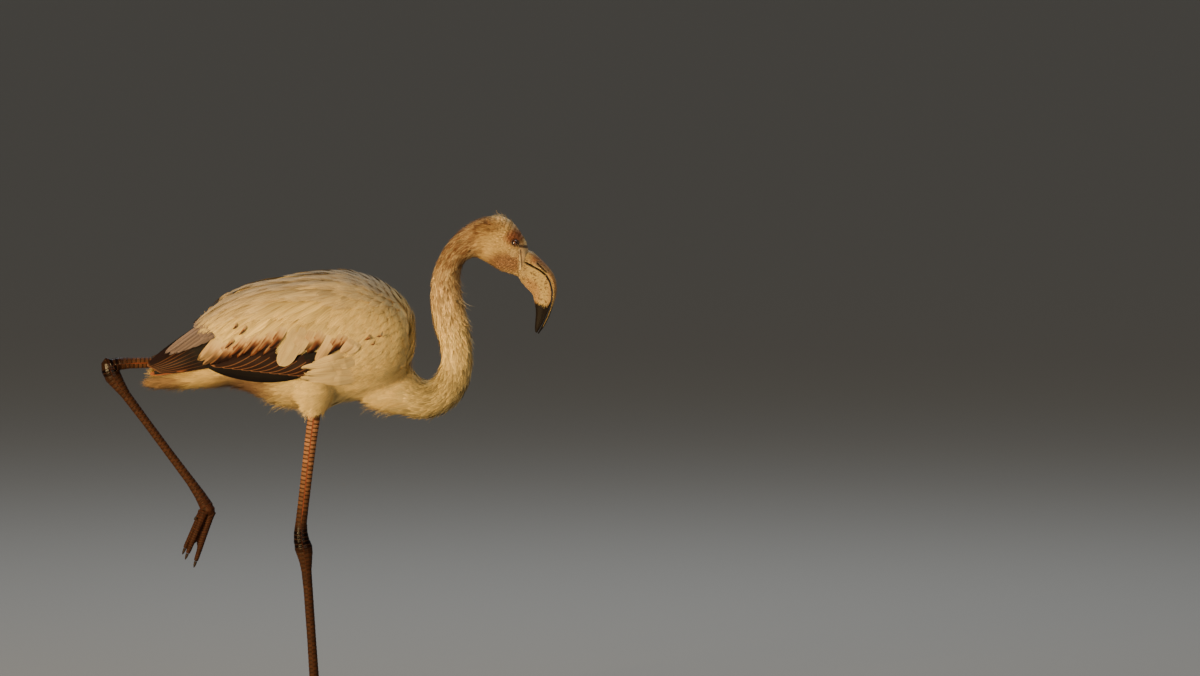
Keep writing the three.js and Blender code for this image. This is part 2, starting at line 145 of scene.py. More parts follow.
def ball(centre, radius, rings=12, sides=16):
    """A closed ball: latitude and longitude rings with a point at each pole."""
    up = np.linspace(0, np.pi, rings + 1)[1:-1, None]
    turn = np.linspace(0, 2 * np.pi, sides, endpoint=False)[None]
    grid = np.stack([np.sin(up) * np.cos(turn), np.sin(up) * np.sin(turn), np.cos(up) + 0 * turn], -1)
    points = np.concatenate([grid.reshape(-1, 3), [[0, 0, 1], [0, 0, -1]]]) * radius + centre
    i, k = np.meshgrid(np.arange(rings - 2), np.arange(sides), indexing="ij")
    a, b = i * sides + k, i * sides + (k + 1) % sides
    walls = np.stack([a, a + sides, b + sides, a, b + sides, b], -1).reshape(-1, 3)
    k = np.arange(sides)
    top = np.stack([np.full(sides, len(points) - 2), k, (k + 1) % sides], 1)
    low = (rings - 2) * sides
    bottom = np.stack([np.full(sides, len(points) - 1), low + (k + 1) % sides, low + k], 1)
    return points, np.concatenate([walls, top, bottom])


def drawn_through(knots, parts):
    """Points on a smooth curve through knots, parts to each interval. With p the four knots
    about an interval and t the share along it: (2 p1 + (p2 - p0) t
    + (2 p0 - 5 p1 + 4 p2 - p3) t^2 + (3 p1 - p0 - 3 p2 + p3) t^3) / 2."""
    p = np.concatenate([[2 * knots[0] - knots[1]], knots, [2 * knots[-1] - knots[-2]]])
    p0, p1, p2, p3 = (p[k : len(p) - 3 + k, None] for k in range(4))
    t = (np.arange(parts) / parts)[None, :, None]
    curve = 2 * p1 + (p2 - p0) * t + (2 * p0 - 5 * p1 + 4 * p2 - p3) * t**2
    curve = curve + (3 * p1 - p0 - 3 * p2 + p3) * t**3
    return np.concatenate([curve.reshape(-1, knots.shape[1]) / 2, knots[-1:]])


# The neck's middle line from inside the breast to the face. Feathers lie along it. Places on it
# are counted in its knots, and NECK_PARTS points are drawn to each.
NECK_KNOTS = MM * np.array(
    [[58, 524], [90, 505], [122, 490], [147, 481], [173, 488], [190.5, 509], [197.5, 538],
     [195, 568], [187, 600], [180.5, 640], [181.5, 668], [189, 690], [201.5, 707], [222, 719],
     [250, 721], [275, 713], [292, 690], [306, 664]])
NECK_PARTS = 5
NECK_LINE = drawn_through(NECK_KNOTS, NECK_PARTS)


def nearest_on(points, line):
    """The foot of each point on a bent line. With a and b the ends of an interval, the share
    along it is (p - a).(b - a) / |b - a|^2, kept within 0 and 1. Returns the nearest interval,
    the share along it, the way from foot to point and its length."""
    p, a, b = points[:, None], line[None, :-1], line[None, 1:]
    share = np.clip(((p - a) * (b - a)).sum(-1) / ((b - a) ** 2).sum(-1), 0, 1)
    away = p - a - share[..., None] * (b - a)
    off = np.linalg.norm(away, axis=-1)
    nearest = off.argmin(1)
    rows = np.arange(len(points))
    return nearest, share[rows, nearest], away[rows, nearest], off[rows, nearest]


def along_neck(points):
    """For each point the place on the neck's middle line, in knots along it, how far off it is,
    and the line's direction there, towards the body."""
    low, share, _, off = nearest_on(points[:, ::2], NECK_LINE)
    place, share = low + share, share[:, None]
    knots = unit(np.gradient(NECK_LINE, axis=0))
    way = -(knots[low] * (1 - share) + knots[low + 1] * share)
    return place / NECK_PARTS, off, np.stack([way[:, 0], 0 * place, way[:, 1]], 1)


sockets = [ball(EYE * (1, side, 1), SOCKET_RADIUS) for side in (1, -1)]
envelope, quads = melted(FLESH, HIDE_GRAIN, 6, sockets)
# The step where the shoulders meet the neck's root is rounded off.
x, _, z = (envelope / MM).T
step = smooth(x, 85, 110) * smooth(z, 505, 530) * smooth(x, 160, 145)
envelope += (relaxed(envelope, quads, 25) - envelope) * step[:, None]
envelope_normals = normals_of(envelope, quads)
corners, triangles, owner = solids_of(FLESH)
solid_tree = BVHTree.FromPolygons(corners.tolist(), triangles.tolist())
flesh_of = owner[[solid_tree.find_nearest(p)[2] for p in envelope]]
in_part = {name: flesh_of == index for index, name in enumerate(FLESH)}
in_wing = in_part["wing_left"] | in_part["wing_right"]
in_thigh = in_part["thigh_left"] | in_part["thigh_right"]
in_neck = in_part["neck_bend"] | in_part["neck_rise"] | in_part["neck_upper"] | in_part["neck_nape"]
in_head = in_part["head"]
neck_place, _, _ = along_neck(envelope)

# How deep (mm) the hide lies: the feathers' depth over each part, evened out from part to part.
depth = np.full(len(envelope), 6.0)
for part, feathers in ((in_wing, 5.5), (in_thigh, 4.5), (in_part["tail"], 3.5)):
    depth[part] = feathers
for part, knots, feathers in ((in_neck, (4, 8, 13), (4.2, 3.6, 2.4)),
                              (in_head, (12.5, 14, 16), (2.4, 1.5, 0.6))):
    depth[part] = np.interp(neck_place[part], knots, feathers)
depth = relaxed(np.repeat(depth[:, None], 3, 1), quads, 12)[:, :1] * MM
hide = envelope - envelope_normals * depth
hide_normals = normals_of(hide, quads)
tree = KDTree(len(hide))
for index, point in enumerate(hide):
    tree.insert(point, index)
tree.balance()


def hide_under(points):
    """Each point's foot on the hide, which is the point less its height over the plane of the
    nearest vertex, with the hide's normal there and that vertex."""
    found = np.array([tree.find(p)[1] for p in points.reshape(-1, 3)])
    normal = hide_normals[found].reshape(points.shape)
    height = ((points - hide[found].reshape(points.shape)) * normal).sum(-1, keepdims=True)
    return points - height * normal, normal, found.reshape(points.shape[:-1])


# The colours of hide and feathers alike: cream on the body, greyer along the back, streaked
# buff up the neck, and rust round the eye and on the cheek.
def linear(*levels):
    """A display colour, 0 to 255, as the light it stands for."""
    return (np.array(levels) / 255) ** 2.2


# The tail's dark tone is partly its own grey-brown and partly painted shade from the wing over it.
CREAM, BACK_GREY, TAIL_SHADED_TONE = linear(233, 204, 134), linear(190, 170, 140), linear(150, 118, 80)
# The flank's grey-brown is painted shade under the folded wing and behind the thigh.
FLANK_PAINTED_SHADE, UNDERTAIL_BUFF = linear(124, 94, 70), linear(216, 182, 112)
NECK_BUFF, STREAK_BROWN = linear(222, 190, 136), linear(112, 72, 44)
HEAD_BUFF, CROWN_PALE = linear(212, 178, 114), linear(232, 204, 144)
CHEEK_RUST, EYE_RUST, BARE_FACE = linear(150, 112, 78), linear(140, 84, 56), linear(186, 156, 112)
TERTIAL_GREY, WING_TIP_DARK, LORE_DARK = linear(150, 130, 116), linear(40, 24, 15), linear(58, 40, 30)

# How much lighter or darker the neck is than the body, by the place on its line: painted light on the rise
# that faces the key lamp, painted shade in the bend, and darker towards the head.
NECK_PAINTED_SHADING_AT = [2, 3.5, 5.4, 6.6, 9, 11.5, 13]
NECK_PAINTED_SHADING = [-0.1, -0.26, -0.28, 0.36, 0.26, -0.1, -0.22]

# Soft patches of the face, one over the other: tint, share, centre and reach (x, z in mm).
FACE_PATCHES = (
    (CHEEK_RUST, 1.0, (268, 684), (32, 20)), (CHEEK_RUST, 0.7, (285, 688), (15, 26)),
    (CHEEK_RUST, 0.7, (283, 678), (14, 12)), (CROWN_PALE, 1.0, (266, 758), (22, 15)),
    (CHEEK_RUST, 0.6, (291, 730), (20, 22)), (EYE_RUST, 0.95, (284, 721), (19, 16)),
    (CROWN_PALE, 0.55, (283, 698), (8, 9)), (BARE_FACE, 1.0, None, None),
    (CROWN_PALE, 0.7, (301, 716), (5, 12)))
FACE_RISE = 3  # mm that the patches lie higher than their stated places


def grain_at(points, size, seed=0):
    """Smooth random values from -1 to 1: a random lattice size apart, blended between its knots."""
    p = points / size + seed * 7.31
    low = np.floor(p).astype(np.int64)
    t = p - low
    t = t * t * (3 - 2 * t)
    total = np.zeros(p.shape[:-1])
    for corner in np.ndindex(2, 2, 2):
        knot = low + np.array(corner)
        mixed = knot @ np.array([374761393, 668265263, 2147483647]) + seed * 144269
        mixed = (mixed ^ (mixed >> 13)) * 1274126177
        value = ((mixed ^ (mixed >> 16)) & 0xFFFF) / 32767.5 - 1
        total += value * np.prod(np.where(np.array(corner), t, 1 - t), -1)
    return total


def patch(points, centre, reach):
    """1 at centre (x, z in mm), falling to 0 at the edge of an ellipse that reaches that far."""
    off = (points[..., ::2] / MM - centre) / reach
    return smooth((off**2).sum(-1), 1, 0)


def tinted(base, colour, share):
    """The way from base to colour, gone by a share."""
    return base + (colour - base) * share[..., None]


def washed(colour, *washes):
    """Tints laid over a colour in turn, each with its share."""
    for tint, share in washes:
        colour = tinted(colour, tint, share)
    return colour


def neck_unwrap(points):
    """The hide of neck and head laid flat: along the neck, and the angle round it."""
    place, _, way = along_neck(points)
    _, _, away, _ = nearest_on(points[:, ::2], NECK_LINE)
    out = (away * np.stack([way[:, 2], -way[:, 0]], 1)).sum(1)
    return np.stack([place / len(NECK_KNOTS), 0.5 + np.arctan2(points[:, 1], out) / (2 * np.pi)], 1)


def on_neck(place, off):
    """1 near the neck's line beyond the breast, else 0."""
    return smooth(off, 60 * MM, 48 * MM) * smooth(place, 2, 3.5)


def markings(points, normals):
    """The plumage's colour at points of the hide, with painted light and shade on the belly, flank,
    tail and neck. Streaks are noise drawn out along the neck: one of its lattice cells is about
    6 mm along and 2 mm round it."""
    place, off, _ = along_neck(points)
    x, z = points[:, 0] / MM, points[:, 2] / MM
    neck = on_neck(place, off)
    head = neck * smooth(place, 12.9, 13.8)
    drawn = np.column_stack([neck_unwrap(points) * (85, 62), 0 * x])
    streak = grain_at(drawn, 1.0, 6) + 0.4 * grain_at(drawn, 0.5, 7)
    streaked = how_streaked(points)
    colour = washed(
        np.repeat(CREAM[None], len(points), 0),
        (BACK_GREY, 0.85 * smooth(normals[:, 2], 0.42, 0.92) * smooth(z, 590, 640)),
        (UNDERTAIL_BUFF, smooth(x, -120, -150) * smooth(z, 540, 525)),
        # The tail's darker tone, partly painted shade under the wing.
        (TAIL_SHADED_TONE, smooth(x, -186, -206) * smooth(z, 524, 512)),
        # Grey-brown on the flank under the folded wing and behind the thigh: painted shade.
        (FLANK_PAINTED_SHADE, patch(points, (-106, 492), (72, 44))))
    # Painted light on the lower belly from the flank forward, and a little painted shade higher up the
    # body.
    belly_light_and_shade = 0.1 * smooth(z, 530, 505) * smooth(x, -130, -80) - 0.04 * smooth(z, 545, 570)
    colour = colour * (1 + (1 - neck) * belly_light_and_shade)[:, None]
    tip_low = 546 - 20 * smooth(x, -210, -226)
    colour = washed(
        colour,
        (TERTIAL_GREY, smooth(x, -135, -175) * smooth(z, 540, 556)),
        (WING_TIP_DARK, smooth(x, -186, -194) * smooth(z, tip_low, tip_low + 4)),
        (NECK_BUFF, 0.9 * neck * smooth(place, 7.2, 9.5)))
    # Painted light and shade along the neck.
    colour = colour * (1 + neck * np.interp(place, NECK_PAINTED_SHADING_AT, NECK_PAINTED_SHADING))[:, None]
    colour = washed(
        colour,
        (HEAD_BUFF, head),
        (STREAK_BROWN, 0.3 * streaked * smooth(place, 10, 12)),
        (STREAK_BROWN, 0.75 * streaked * smooth(streak, -0.1, 0.35)))
    colour = colour * (1 + 0.15 * neck * (1 - head) * smooth(streak, -0.1, -0.6))[:, None]
    colour = tinted(colour, STREAK_BROWN, 0.34 * head * smooth(z, 722, 748) * smooth(x, 290, 262))
    lowered = points - (0, 0, FACE_RISE * MM)
    for tint, share, centre, reach in FACE_PATCHES:
        where = patch(lowered, centre, reach) if centre else bare_face(points)
        colour = tinted(colour, tint, share * head * where)
    colour = tinted(colour, LORE_DARK, 0.9 * head * patch(points, EYE[::2] / MM, (7.6, 6.8)))
    mottle = 0.10 * head * grain_at(points, 2.6 * MM, 11)
    mottle = mottle + 0.05 * grain_at(points, 9 * MM, 3) + 0.05 * grain_at(points, 30 * MM, 4)
    return colour * (1 + mottle)[:, None]


def how_streaked(points):
    """How far the feathers have brown shafts: more and more up the neck and along the nape."""
    place, off, _ = along_neck(points)
    x, z = points[:, 0] / MM, points[:, 2] / MM
    up = np.interp(place, [4, 7, 9.5, 11, 12.6, 13.4, 14.0], [0, 0.3, 0.5, 0.85, 1, 0.7, 0])
    nape = smooth(z, 722, 742) * smooth(x, 284, 236) * smooth(place, 12.6, 13.4)
    return on_neck(place, off) * np.clip(up + nape, 0, 1)


def bare_face(points):
    """1 on the bare skin ahead of the line from the eye down to the chin, else 0."""
    x, z = points[..., 0] / MM, points[..., 2] / MM
    return smooth(x, 289.5, 291) * smooth(z, 716, 714)


def stored(mesh, name, values):
    """Keeps one number, a vector or a colour for each vertex of a mesh."""
    values = np.asarray(values, np.float32).reshape(len(mesh.vertices), -1)
    kinds = {1: ("FLOAT", "value"), 3: ("FLOAT_VECTOR", "vector"), 4: ("FLOAT_COLOR", "color")}
    kind, key = kinds[values.shape[1]]
    mesh.attributes.new(name, kind, "POINT").data.foreach_set(key, values.ravel())


def paint(mesh, colours):
    """Keeps the tint of each vertex."""
    colours = colours.reshape(-1, 3)
    stored(mesh, "tint", np.column_stack([colours, np.ones(len(colours))]))


class Value:
    """A shader socket that takes part in expressions: each operator adds its Math node."""

    def __init__(self, tree, socket):
        self.tree, self.socket = tree, socket

    def node(self, kind, settings=None, inputs=None, output=0):
        """Adds a node, sets it up, then gives its inputs values or links; returns an output."""
        made = self.tree.nodes.new("ShaderNode" + kind)
        for key, value in (settings or {}).items():
            setattr(made, key, value)
        for key, value in (inputs or {}).items():
            if isinstance(value, Value):
                self.tree.links.new(value.socket, made.inputs[key])
            else:
                made.inputs[key].default_value = value
        return Value(self.tree, made.outputs[output])

    def math(self, operation, other=None, swap=False):
        """One operation on this, or on this and the other, or the other way round."""
        pair = [self] if other is None else [other, self] if swap else [self, other]
        return self.node("Math", {"operation": operation}, dict(enumerate(pair)))

    def __add__(self, other):
        return self.math("ADD", other)

    def __sub__(self, other):
        return self.math("SUBTRACT", other)

    def __rsub__(self, other):
        return self.math("SUBTRACT", other, True)

    def __mul__(self, other):
        return self.math("MULTIPLY", other)

    def __pow__(self, other):
        return self.math("POWER", other)

    __radd__, __rmul__ = __add__, __mul__

    def step(self, low, high, bottom=0.0, top=1.0):
        """bottom up to low, top from high on, and a smooth way between."""
        limits = {"Value": self, "From Min": low, "From Max": high, "To Min": bottom, "To Max": top}
        return self.node("MapRange", {"interpolation_type": "SMOOTHSTEP"}, limits)

    def mix(self, first, second, blend="MIX"):
        """first where this is 0, second where it is 1, as colours."""
        sockets = {0: self, 6: first, 7: second}
        return self.node("Mix", {"data_type": "RGBA", "blend_type": blend}, sockets, 2)


# What an Attribute node gives as a colour, a vector or one number, by its output.
AS_COLOUR, AS_VECTOR, AS_NUMBER = 0, 1, 2


def surface(name, roughness, **fixed):
    """A new material: its start for expressions, its shader, and what is the same all over."""
    material = bpy.data.materials.new(name)
    material.use_nodes = True
    shader = material.node_tree.nodes["Principled BSDF"]
    shader.inputs["Roughness"].default_value = roughness
    for key, value in fixed.items():
        shader.inputs[key.replace("_", " ")].default_value = value
    return material, Value(material.node_tree, None), shader


def kept(start, name, output=AS_COLOUR):
    """What is stored for each vertex under a name."""
    return start.node("Attribute", {"attribute_name": name}, {}, output)


def in_object(start):
    """The place on the object, in metres."""
    return start.node("TexCoord", {}, {}, 3)


def parts_of(vector):
    """The three parts of a vector."""
    split = vector.node("SeparateXYZ", {}, {0: vector})
    return (Value(split.tree, socket) for socket in split.socket.node.outputs)


def feed(shader, source, socket):
    """Links a value to one of the shader's inputs."""
    source.tree.links.new(source.socket, shader.inputs[socket])


def noise(start, vector, scale, detail=2.0, roughness=0.5):
    """Smooth random values about 0.5, scale to a unit of the vector."""
    inputs = {"Vector": vector, "Scale": scale, "Detail": detail, "Roughness": roughness}
    return start.node("TexNoise", {}, inputs)


def bumped(shader, height, strength, distance):
    """Height makes small relief on the surface."""
    inputs = {"Height": height, "Strength": strength, "Distance": distance}
    feed(shader, height.node("Bump", {}, inputs), "Normal")


def to_stroke(x, z, begin, end, half):
    """1 along a straight stroke from begin to end (x, z in mm), 0 past half (mm) beside it: with
    t the share along it of the foot of a point, the stroke's distance is |p - begin - t way|."""
    (ax, az), (bx, bz) = np.array(begin) * MM, np.array(end) * MM
    wx, wz = bx - ax, bz - az
    t = ((x - ax) * wx + (z - az) * wz) * (1 / (wx * wx + wz * wz))
    t = t.math("MAXIMUM", 0.0).math("MINIMUM", 1.0)
    off = ((x - ax - t * wx) ** 2.0 + (z - az - t * wz) ** 2.0) ** 0.5
    return off.step(half * MM, 0.35 * half * MM)


def hide_finish():
    """Thin skin in the plumage's colours, with fine creases darkened in their hollows as painted
    shade, a dark line from the eye to the bill, and a fold down the face painted as a pale lit
    strip behind and a dark shaded strip in front."""
    material, start, shader = surface("feathered_hide", 0.75, Subsurface_Weight=0.05)
    tint = kept(start, "tint")
    place = in_object(start)
    creases = noise(start, place, 900.0, 3.0)
    x, _, z = parts_of(place)
    x = x + (creases - 0.5) * (1.5 * MM)
    # Painted shade: the creases' hollows are darkened.
    skin = creases.step(0.35, 0.6, 0.35, 0.0).mix(tint, (0.72, 0.6, 0.5, 1), "MULTIPLY")
    # The fold down the face is painted light and shade: a pale strip behind, a dark one in front. The last
    # stroke is the dark line from the eye to the bill.
    for begin, end, half, share, tone in (((290, 704), (293, 668), 2.6, 0.5, CROWN_PALE),
                                          ((293, 706), (296, 667), 1.8, 0.75, LORE_DARK),
                                          ((290, 712.5), (310, 709.5), 3.4, 0.9, LORE_DARK)):
        skin = (to_stroke(x, z, begin, end, half) * share).mix(skin, (*tone, 1))
    feed(shader, skin, "Base Color")
    bumped(shader, creases, 0.35, 0.4 * MM)
    return material


def placed(name, points, faces, material, replaced=()):
    """An object of the bird: it rides with the frame and stands for the frame nodes it covers."""
    piece = bpy.data.objects.new(name, mesh_from(name, points, faces))
    bpy.context.scene.collection.objects.link(piece)
    piece.data.materials.append(material)
    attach(piece, "root")
    if replaced:
        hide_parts(*replaced)
    return piece.data


skin = placed("hide", hide, quads, hide_finish(), FLESH)
paint(skin, markings(hide, hide_normals))

# ---- How feathers grow ------------------------------------------------------------------
# A feather is a vane of a few barb tufts side by side, parted towards the tip. It is rooted
# in the hide, follows it along the lie, and its tip rests on those behind it.
WING_EDGE = np.array([[-270, 538], [-180, 543], [-60, 548], [25, 553], [80, 545], [120, 562], [137, 600]])
WING_SLANT_AT = [-260, -180, -80, 20, 80, 130]
WING_SLANT = np.radians([28, 34, 40, 44, 54, 66])
TOP_LINE = np.array([[-262, 545], [-225, 568], [-190, 589], [-150, 617], [-110, 640], [-60, 660],
                     [0, 672], [50, 676], [137, 676]])
TOP_SLANT = np.radians([34, 33, 32, 30, 26, 18, 8, 0, -40])
BODY_AXIS_Z, BODY_ROUND = 590, 76  # mm: the trunk's middle, and the radius its rows are counted on
ROOT_STRAY = 0.12
BAKE_PATCH = 0.003  # how wide a feather is on the bake's map
rng = np.random.default_rng(20)
hide_tree = BVHTree.FromPolygons(hide.tolist(), quads.tolist())


def flat_on(ways, normals):
    """Directions less their part along the normals, made one long."""
    return unit(ways - (ways * normals).sum(-1, keepdims=True) * normals)


def lie(points, normals):
    """Which way feathers lie at points of the hide: down the neck to the breast, slanting back
    over the wing, back along belly and tail, down the thigh and up between the shoulders."""
    flat, n = points.reshape(-1, 3), normals.reshape(-1, 3)
    x, y, z = flat.T / MM
    place, off, neck_way = along_neck(flat)
    slant = np.interp(x, WING_SLANT_AT, WING_SLANT)
    under_top = np.interp(x, *TOP_LINE.T) - z
    along_top = np.interp(x, TOP_LINE[:, 0], TOP_SLANT)
    slant = slant + (along_top - slant) * smooth(under_top, 62, 14)
    edge = np.interp(x, *WING_EDGE.T)
    below = smooth(z, edge + 6, edge - 14)
    slant = slant + (np.radians(16) - slant) * below
    slant = slant * (1 - smooth(x, -170, -210) * below)
    shoulders = smooth(x, 95, 128) * smooth(np.abs(y), 55, 25) * smooth(z, 520, 545)
    hackles = smooth(z, 492, 474) * smooth(np.abs(x - 92), 52, 30)
    leg = smooth(z, 482, 468) * smooth(np.abs(x + 15), 34, 24) * smooth(y, 0, -12)
    way = washed(
        np.stack([-np.cos(slant), 0 * x, -np.sin(slant)], 1),
        (np.stack([585 - z, 0 * x, x - 70], 1) / 60, shoulders),
        (np.array([-0.8, 0, -0.45]), 0.9 * hackles),
        (np.array([-0.25, 0, -1]), leg),
        (neck_way, smooth(off, 60 * MM, 48 * MM) * smooth(place, 1.2, 2.6)))
    return flat_on(way, n).reshape(points.shape)


def scattered(wanted, cells, area_of_cell):
    """Roots over the quads whose wanted is above 0, by it: random points on them, of which the
    one nearest the middle of each cell is kept; cells(points) counts in cells, each about
    area_of_cell (m2) on the hide. Returns points on the hide."""
    corner = hide[quads]
    area = np.linalg.norm(np.cross(corner[:, 2] - corner[:, 0], corner[:, 3] - corner[:, 1]), axis=1) / 2
    weight = area * np.asarray(wanted, float)[quads].mean(1)
    count = int(8 * weight.sum() / area_of_cell)
    chosen = rng.choice(len(quads), count, p=weight / weight.sum())
    s, t = rng.random((2, count, 1))
    a, b, c, d = corner[chosen].transpose(1, 0, 2)
    points = (1 - s) * (1 - t) * a + s * (1 - t) * b + s * t * c + (1 - s) * t * d
    cell = cells(points)
    order = np.argsort(((cell - np.floor(cell) - 0.5) ** 2).sum(1))
    key = np.floor(cell[order]).astype(np.int64) @ [1, 4001, 16008001][: cell.shape[1]]
    return points[order[np.unique(key, return_index=True)[1]]]


def in_rows(side, across, along, slant):
    """Roots on a staggered lattice laid round one side of the body: cells across by along (mm),
    the longer way slanting down to the rear, each root moved by up to ROOT_STRAY of a cell."""
    i, k = np.meshgrid(np.arange(-60, 60), np.arange(-60, 60), indexing="ij")
    jitter = rng.uniform(-ROOT_STRAY, ROOT_STRAY, (2, *i.shape))
    u, v = (i + 0.5 * (k % 2) + jitter[0]) * along, (k + jitter[1]) * across
    x = -60 - u * np.cos(slant) - v * np.sin(slant)
    arc = 90 + u * np.sin(slant) - v * np.cos(slant)
    shown = (x > -262) & (x < 136) & (arc > 5) & (arc < 190)
    x, angle = x[shown], arc[shown] / BODY_ROUND
    out = np.stack([0 * angle, side * np.sin(angle), np.cos(angle)], -1)
    axis = np.stack([x, 0 * angle, BODY_AXIS_Z + 0 * angle], -1) * MM
    hits = [hide_tree.ray_cast(a, -o)[0] for a, o in zip(axis + 0.4 * out, out)]
    return np.array([hit for hit in hits if hit is not None])


def body_unwrap(points):
    """The trunk's hide laid flat: along the body, and the angle round it."""
    angle = np.arctan2(points[:, 1], points[:, 2] - 575 * MM) / (2 * np.pi)
    return np.stack([(points[:, 0] + 0.36) / 0.54, 0.5 + angle], 1)


def between(line, share):
    """Points at shares (n, strips, stations) along lines (n, knots, 3), straight between knots."""
    at = np.clip(share, 0, 1) * (line.shape[1] - 1)
    low = np.minimum(at.astype(int), line.shape[1] - 2)
    rows = np.arange(len(line))[:, None, None]
    t = (at - low)[..., None]
    return line[rows, low] * (1 - t) + line[rows, low + 1] * t


def beside(at, normal, way, half):
    """How much higher the hide is half a width to either side of each point, along its normal:
    below 0 on a ridge, where feathers bend down over it."""
    side = np.cross(normal, way) * half[:, None]
    rises = [((hide_under(at + k * side)[0] - at) * normal).sum(1) for k in (-1, 1)]
    return np.clip(np.stack(rises, 1), -0.9 * half[:, None], 0.25 * half[:, None])


def marched(roots, ways, step, half, knots, turn, free):
    """Middle lines over the hide in even steps from their roots, turning by a share of the lie
    at each. Where the hide drops away or turns sharply, a free line goes straight on. Returns
    points, normals, directions and the falls beside them, per knot."""
    at, normal, _ = hide_under(roots)
    way = flat_on(ways, normal)
    knots_of = [(at, normal, way, beside(at, normal, way, half))]
    step, loose = step[:, None], np.zeros((len(roots), 1))
    for _ in range(knots):
        ahead = at + way * step
        foot, facing, _ = hide_under(ahead)
        drop = np.linalg.norm(foot - ahead, axis=1, keepdims=True)
        bend = (facing * normal).sum(1, keepdims=True)
        leaving = np.maximum(smooth(drop / step, 0.22, 0.5), smooth(bend, 0.8, 0.5))
        loose = np.maximum(loose, free * leaving)
        at = foot + (ahead - foot) * loose
        normal = unit(facing + (normal - facing) * loose)
        turned = (1 - turn) * way + turn * lie(at, normal)
        way = flat_on(turned + (way - turned) * loose, normal)
        knots_of.append((at, normal, way, beside(at, normal, way, half) * (1 - loose)))
    return (np.stack(part, 1) for part in zip(*knots_of))


def vanes(roots, ways, length, half, low, high, strips=5, stations=5, knots=4, turn=0.35,
          round_tip=0.45, fray=0.5, parted=0.4, narrow=0.35, uneven=0.08, lift=0.0, taper=0.3,
          free=1.0):
    """Many feathers at once, low over the hide at the root and high at the tip, each along its
    marched middle line. Strips beside it are edge to edge up to parted, then narrow by fray;
    outer strips end sooner, by round_tip. Returns points (n, strips, stations, 2, 3), shares
    along and places across from -1 to 1."""
    n = len(roots)
    length, half, low, high, lift = (
        np.broadcast_to(np.asarray(value, float), (n,)) for value in (length, half, low, high, lift))
    line, ups, goes, falls = marched(roots, ways, length / knots, half, knots, turn, free)
    middle = (np.arange(strips) + 0.5) * 2 / strips - 1
    ends = 1 - round_tip * np.abs(middle) ** 2 + uneven * rng.uniform(-1, 1, (n, strips))
    share = ends[..., None] * np.linspace(0, 1, stations)
    centre, up, go = between(line, share), unit(between(ups, share)), unit(between(goes, share))
    side = np.cross(up, go)
    swell = narrow + (1 - narrow) * smooth(share, 0, 0.4)
    swell = swell * (1 - taper * smooth(share, 0.45, 1))
    part = 1 - fray * smooth(np.linspace(0, 1, stations), parted, 1)
    part[-1] *= 0.35
    across = middle[:, None, None] + np.array([-1, 1]) / strips * part[:, None]
    width = (half[:, None, None] * swell)[..., None] * across
    low, high, lift = (value[:, None, None] for value in (low, high, lift))
    height = low + (high - low) * share**0.8 + lift * share**3
    fall = between(falls, share)
    height = height[..., None] + np.where(across < 0, fall[..., :1], fall[..., 1:]) * across**2
    points = centre[..., None, :] + side[..., None, :] * width[..., None]
    points = points + up[..., None, :] * height[..., None]
    shape = points.shape[:-1]
    return points, np.broadcast_to(share[..., None], shape), np.broadcast_to(across, shape)


def strip_faces(shape):
    """Quads between neighbouring stations of every strip of every feather."""
    index = np.arange(np.prod(shape)).reshape(shape)
    a, b = index[..., :-1, :], index[..., 1:, :]
    return np.stack([a[..., 0], b[..., 0], b[..., 1], a[..., 1]], -1).reshape(-1, 4)


def feather_finish(name, roughness, contrast, relief=0.5, fine=1.5):
    """Matt barbs: streaks along the feather in its own colour, and soft relief. Nothing here
    depends on the place in the world, so every feather keeps its streaks."""
    material, start, shader = surface(name, roughness, Specular_IOR_Level=0.2)
    tint = kept(start, "tint")
    own = kept(start, "vane", AS_VECTOR)
    drawn = own.node("VectorMath", {"operation": "MULTIPLY"}, {0: own, 1: (fine, 0.7, 61.0)})
    barbs = noise(start, drawn, 2.2, 4.0, 0.62)
    shade = barbs.step(0.32, 0.62, contrast, 0.0)
    feed(shader, shade.mix(tint, (0.58, 0.46, 0.36, 1), "MULTIPLY"), "Base Color")
    bumped(shader, barbs, relief, 1.2 * MM)
    return material


def feathered(mesh, colours, own, places):
    """What each vertex of a coat keeps: its tint, its own place on its feather (across, along
    and a number of the feather's), and its place on the bake's map."""
    paint(mesh, colours)
    stored(mesh, "vane", own)
    corners = np.empty(len(mesh.loops), np.int32)
    mesh.loops.foreach_get("vertex_index", corners)
    layer = mesh.uv_layers.new(name="OFBake")
    layer.uv.foreach_set("vector", places.reshape(-1, 2)[corners].astype(np.float32).ravel())


def coat(name, made, colours, unwrap, roots, material):
    """One piece of plumage from vanes. On the bake's map each feather is a small patch at its
    root's place."""
    points, along, across = made
    mesh = placed(name, points.reshape(-1, 3), strip_faces(points.shape[:-1]), material)
    chance = np.broadcast_to(rng.random(len(points))[:, None, None, None], along.shape)
    places = unwrap(roots)[:, None, None, None] + BAKE_PATCH * np.stack([across / 2, along - 0.5], -1)
    feathered(mesh, colours, np.stack([across, along, chance], -1), places)


BARB_TONE = 0.05  # how much barbs differ from each other


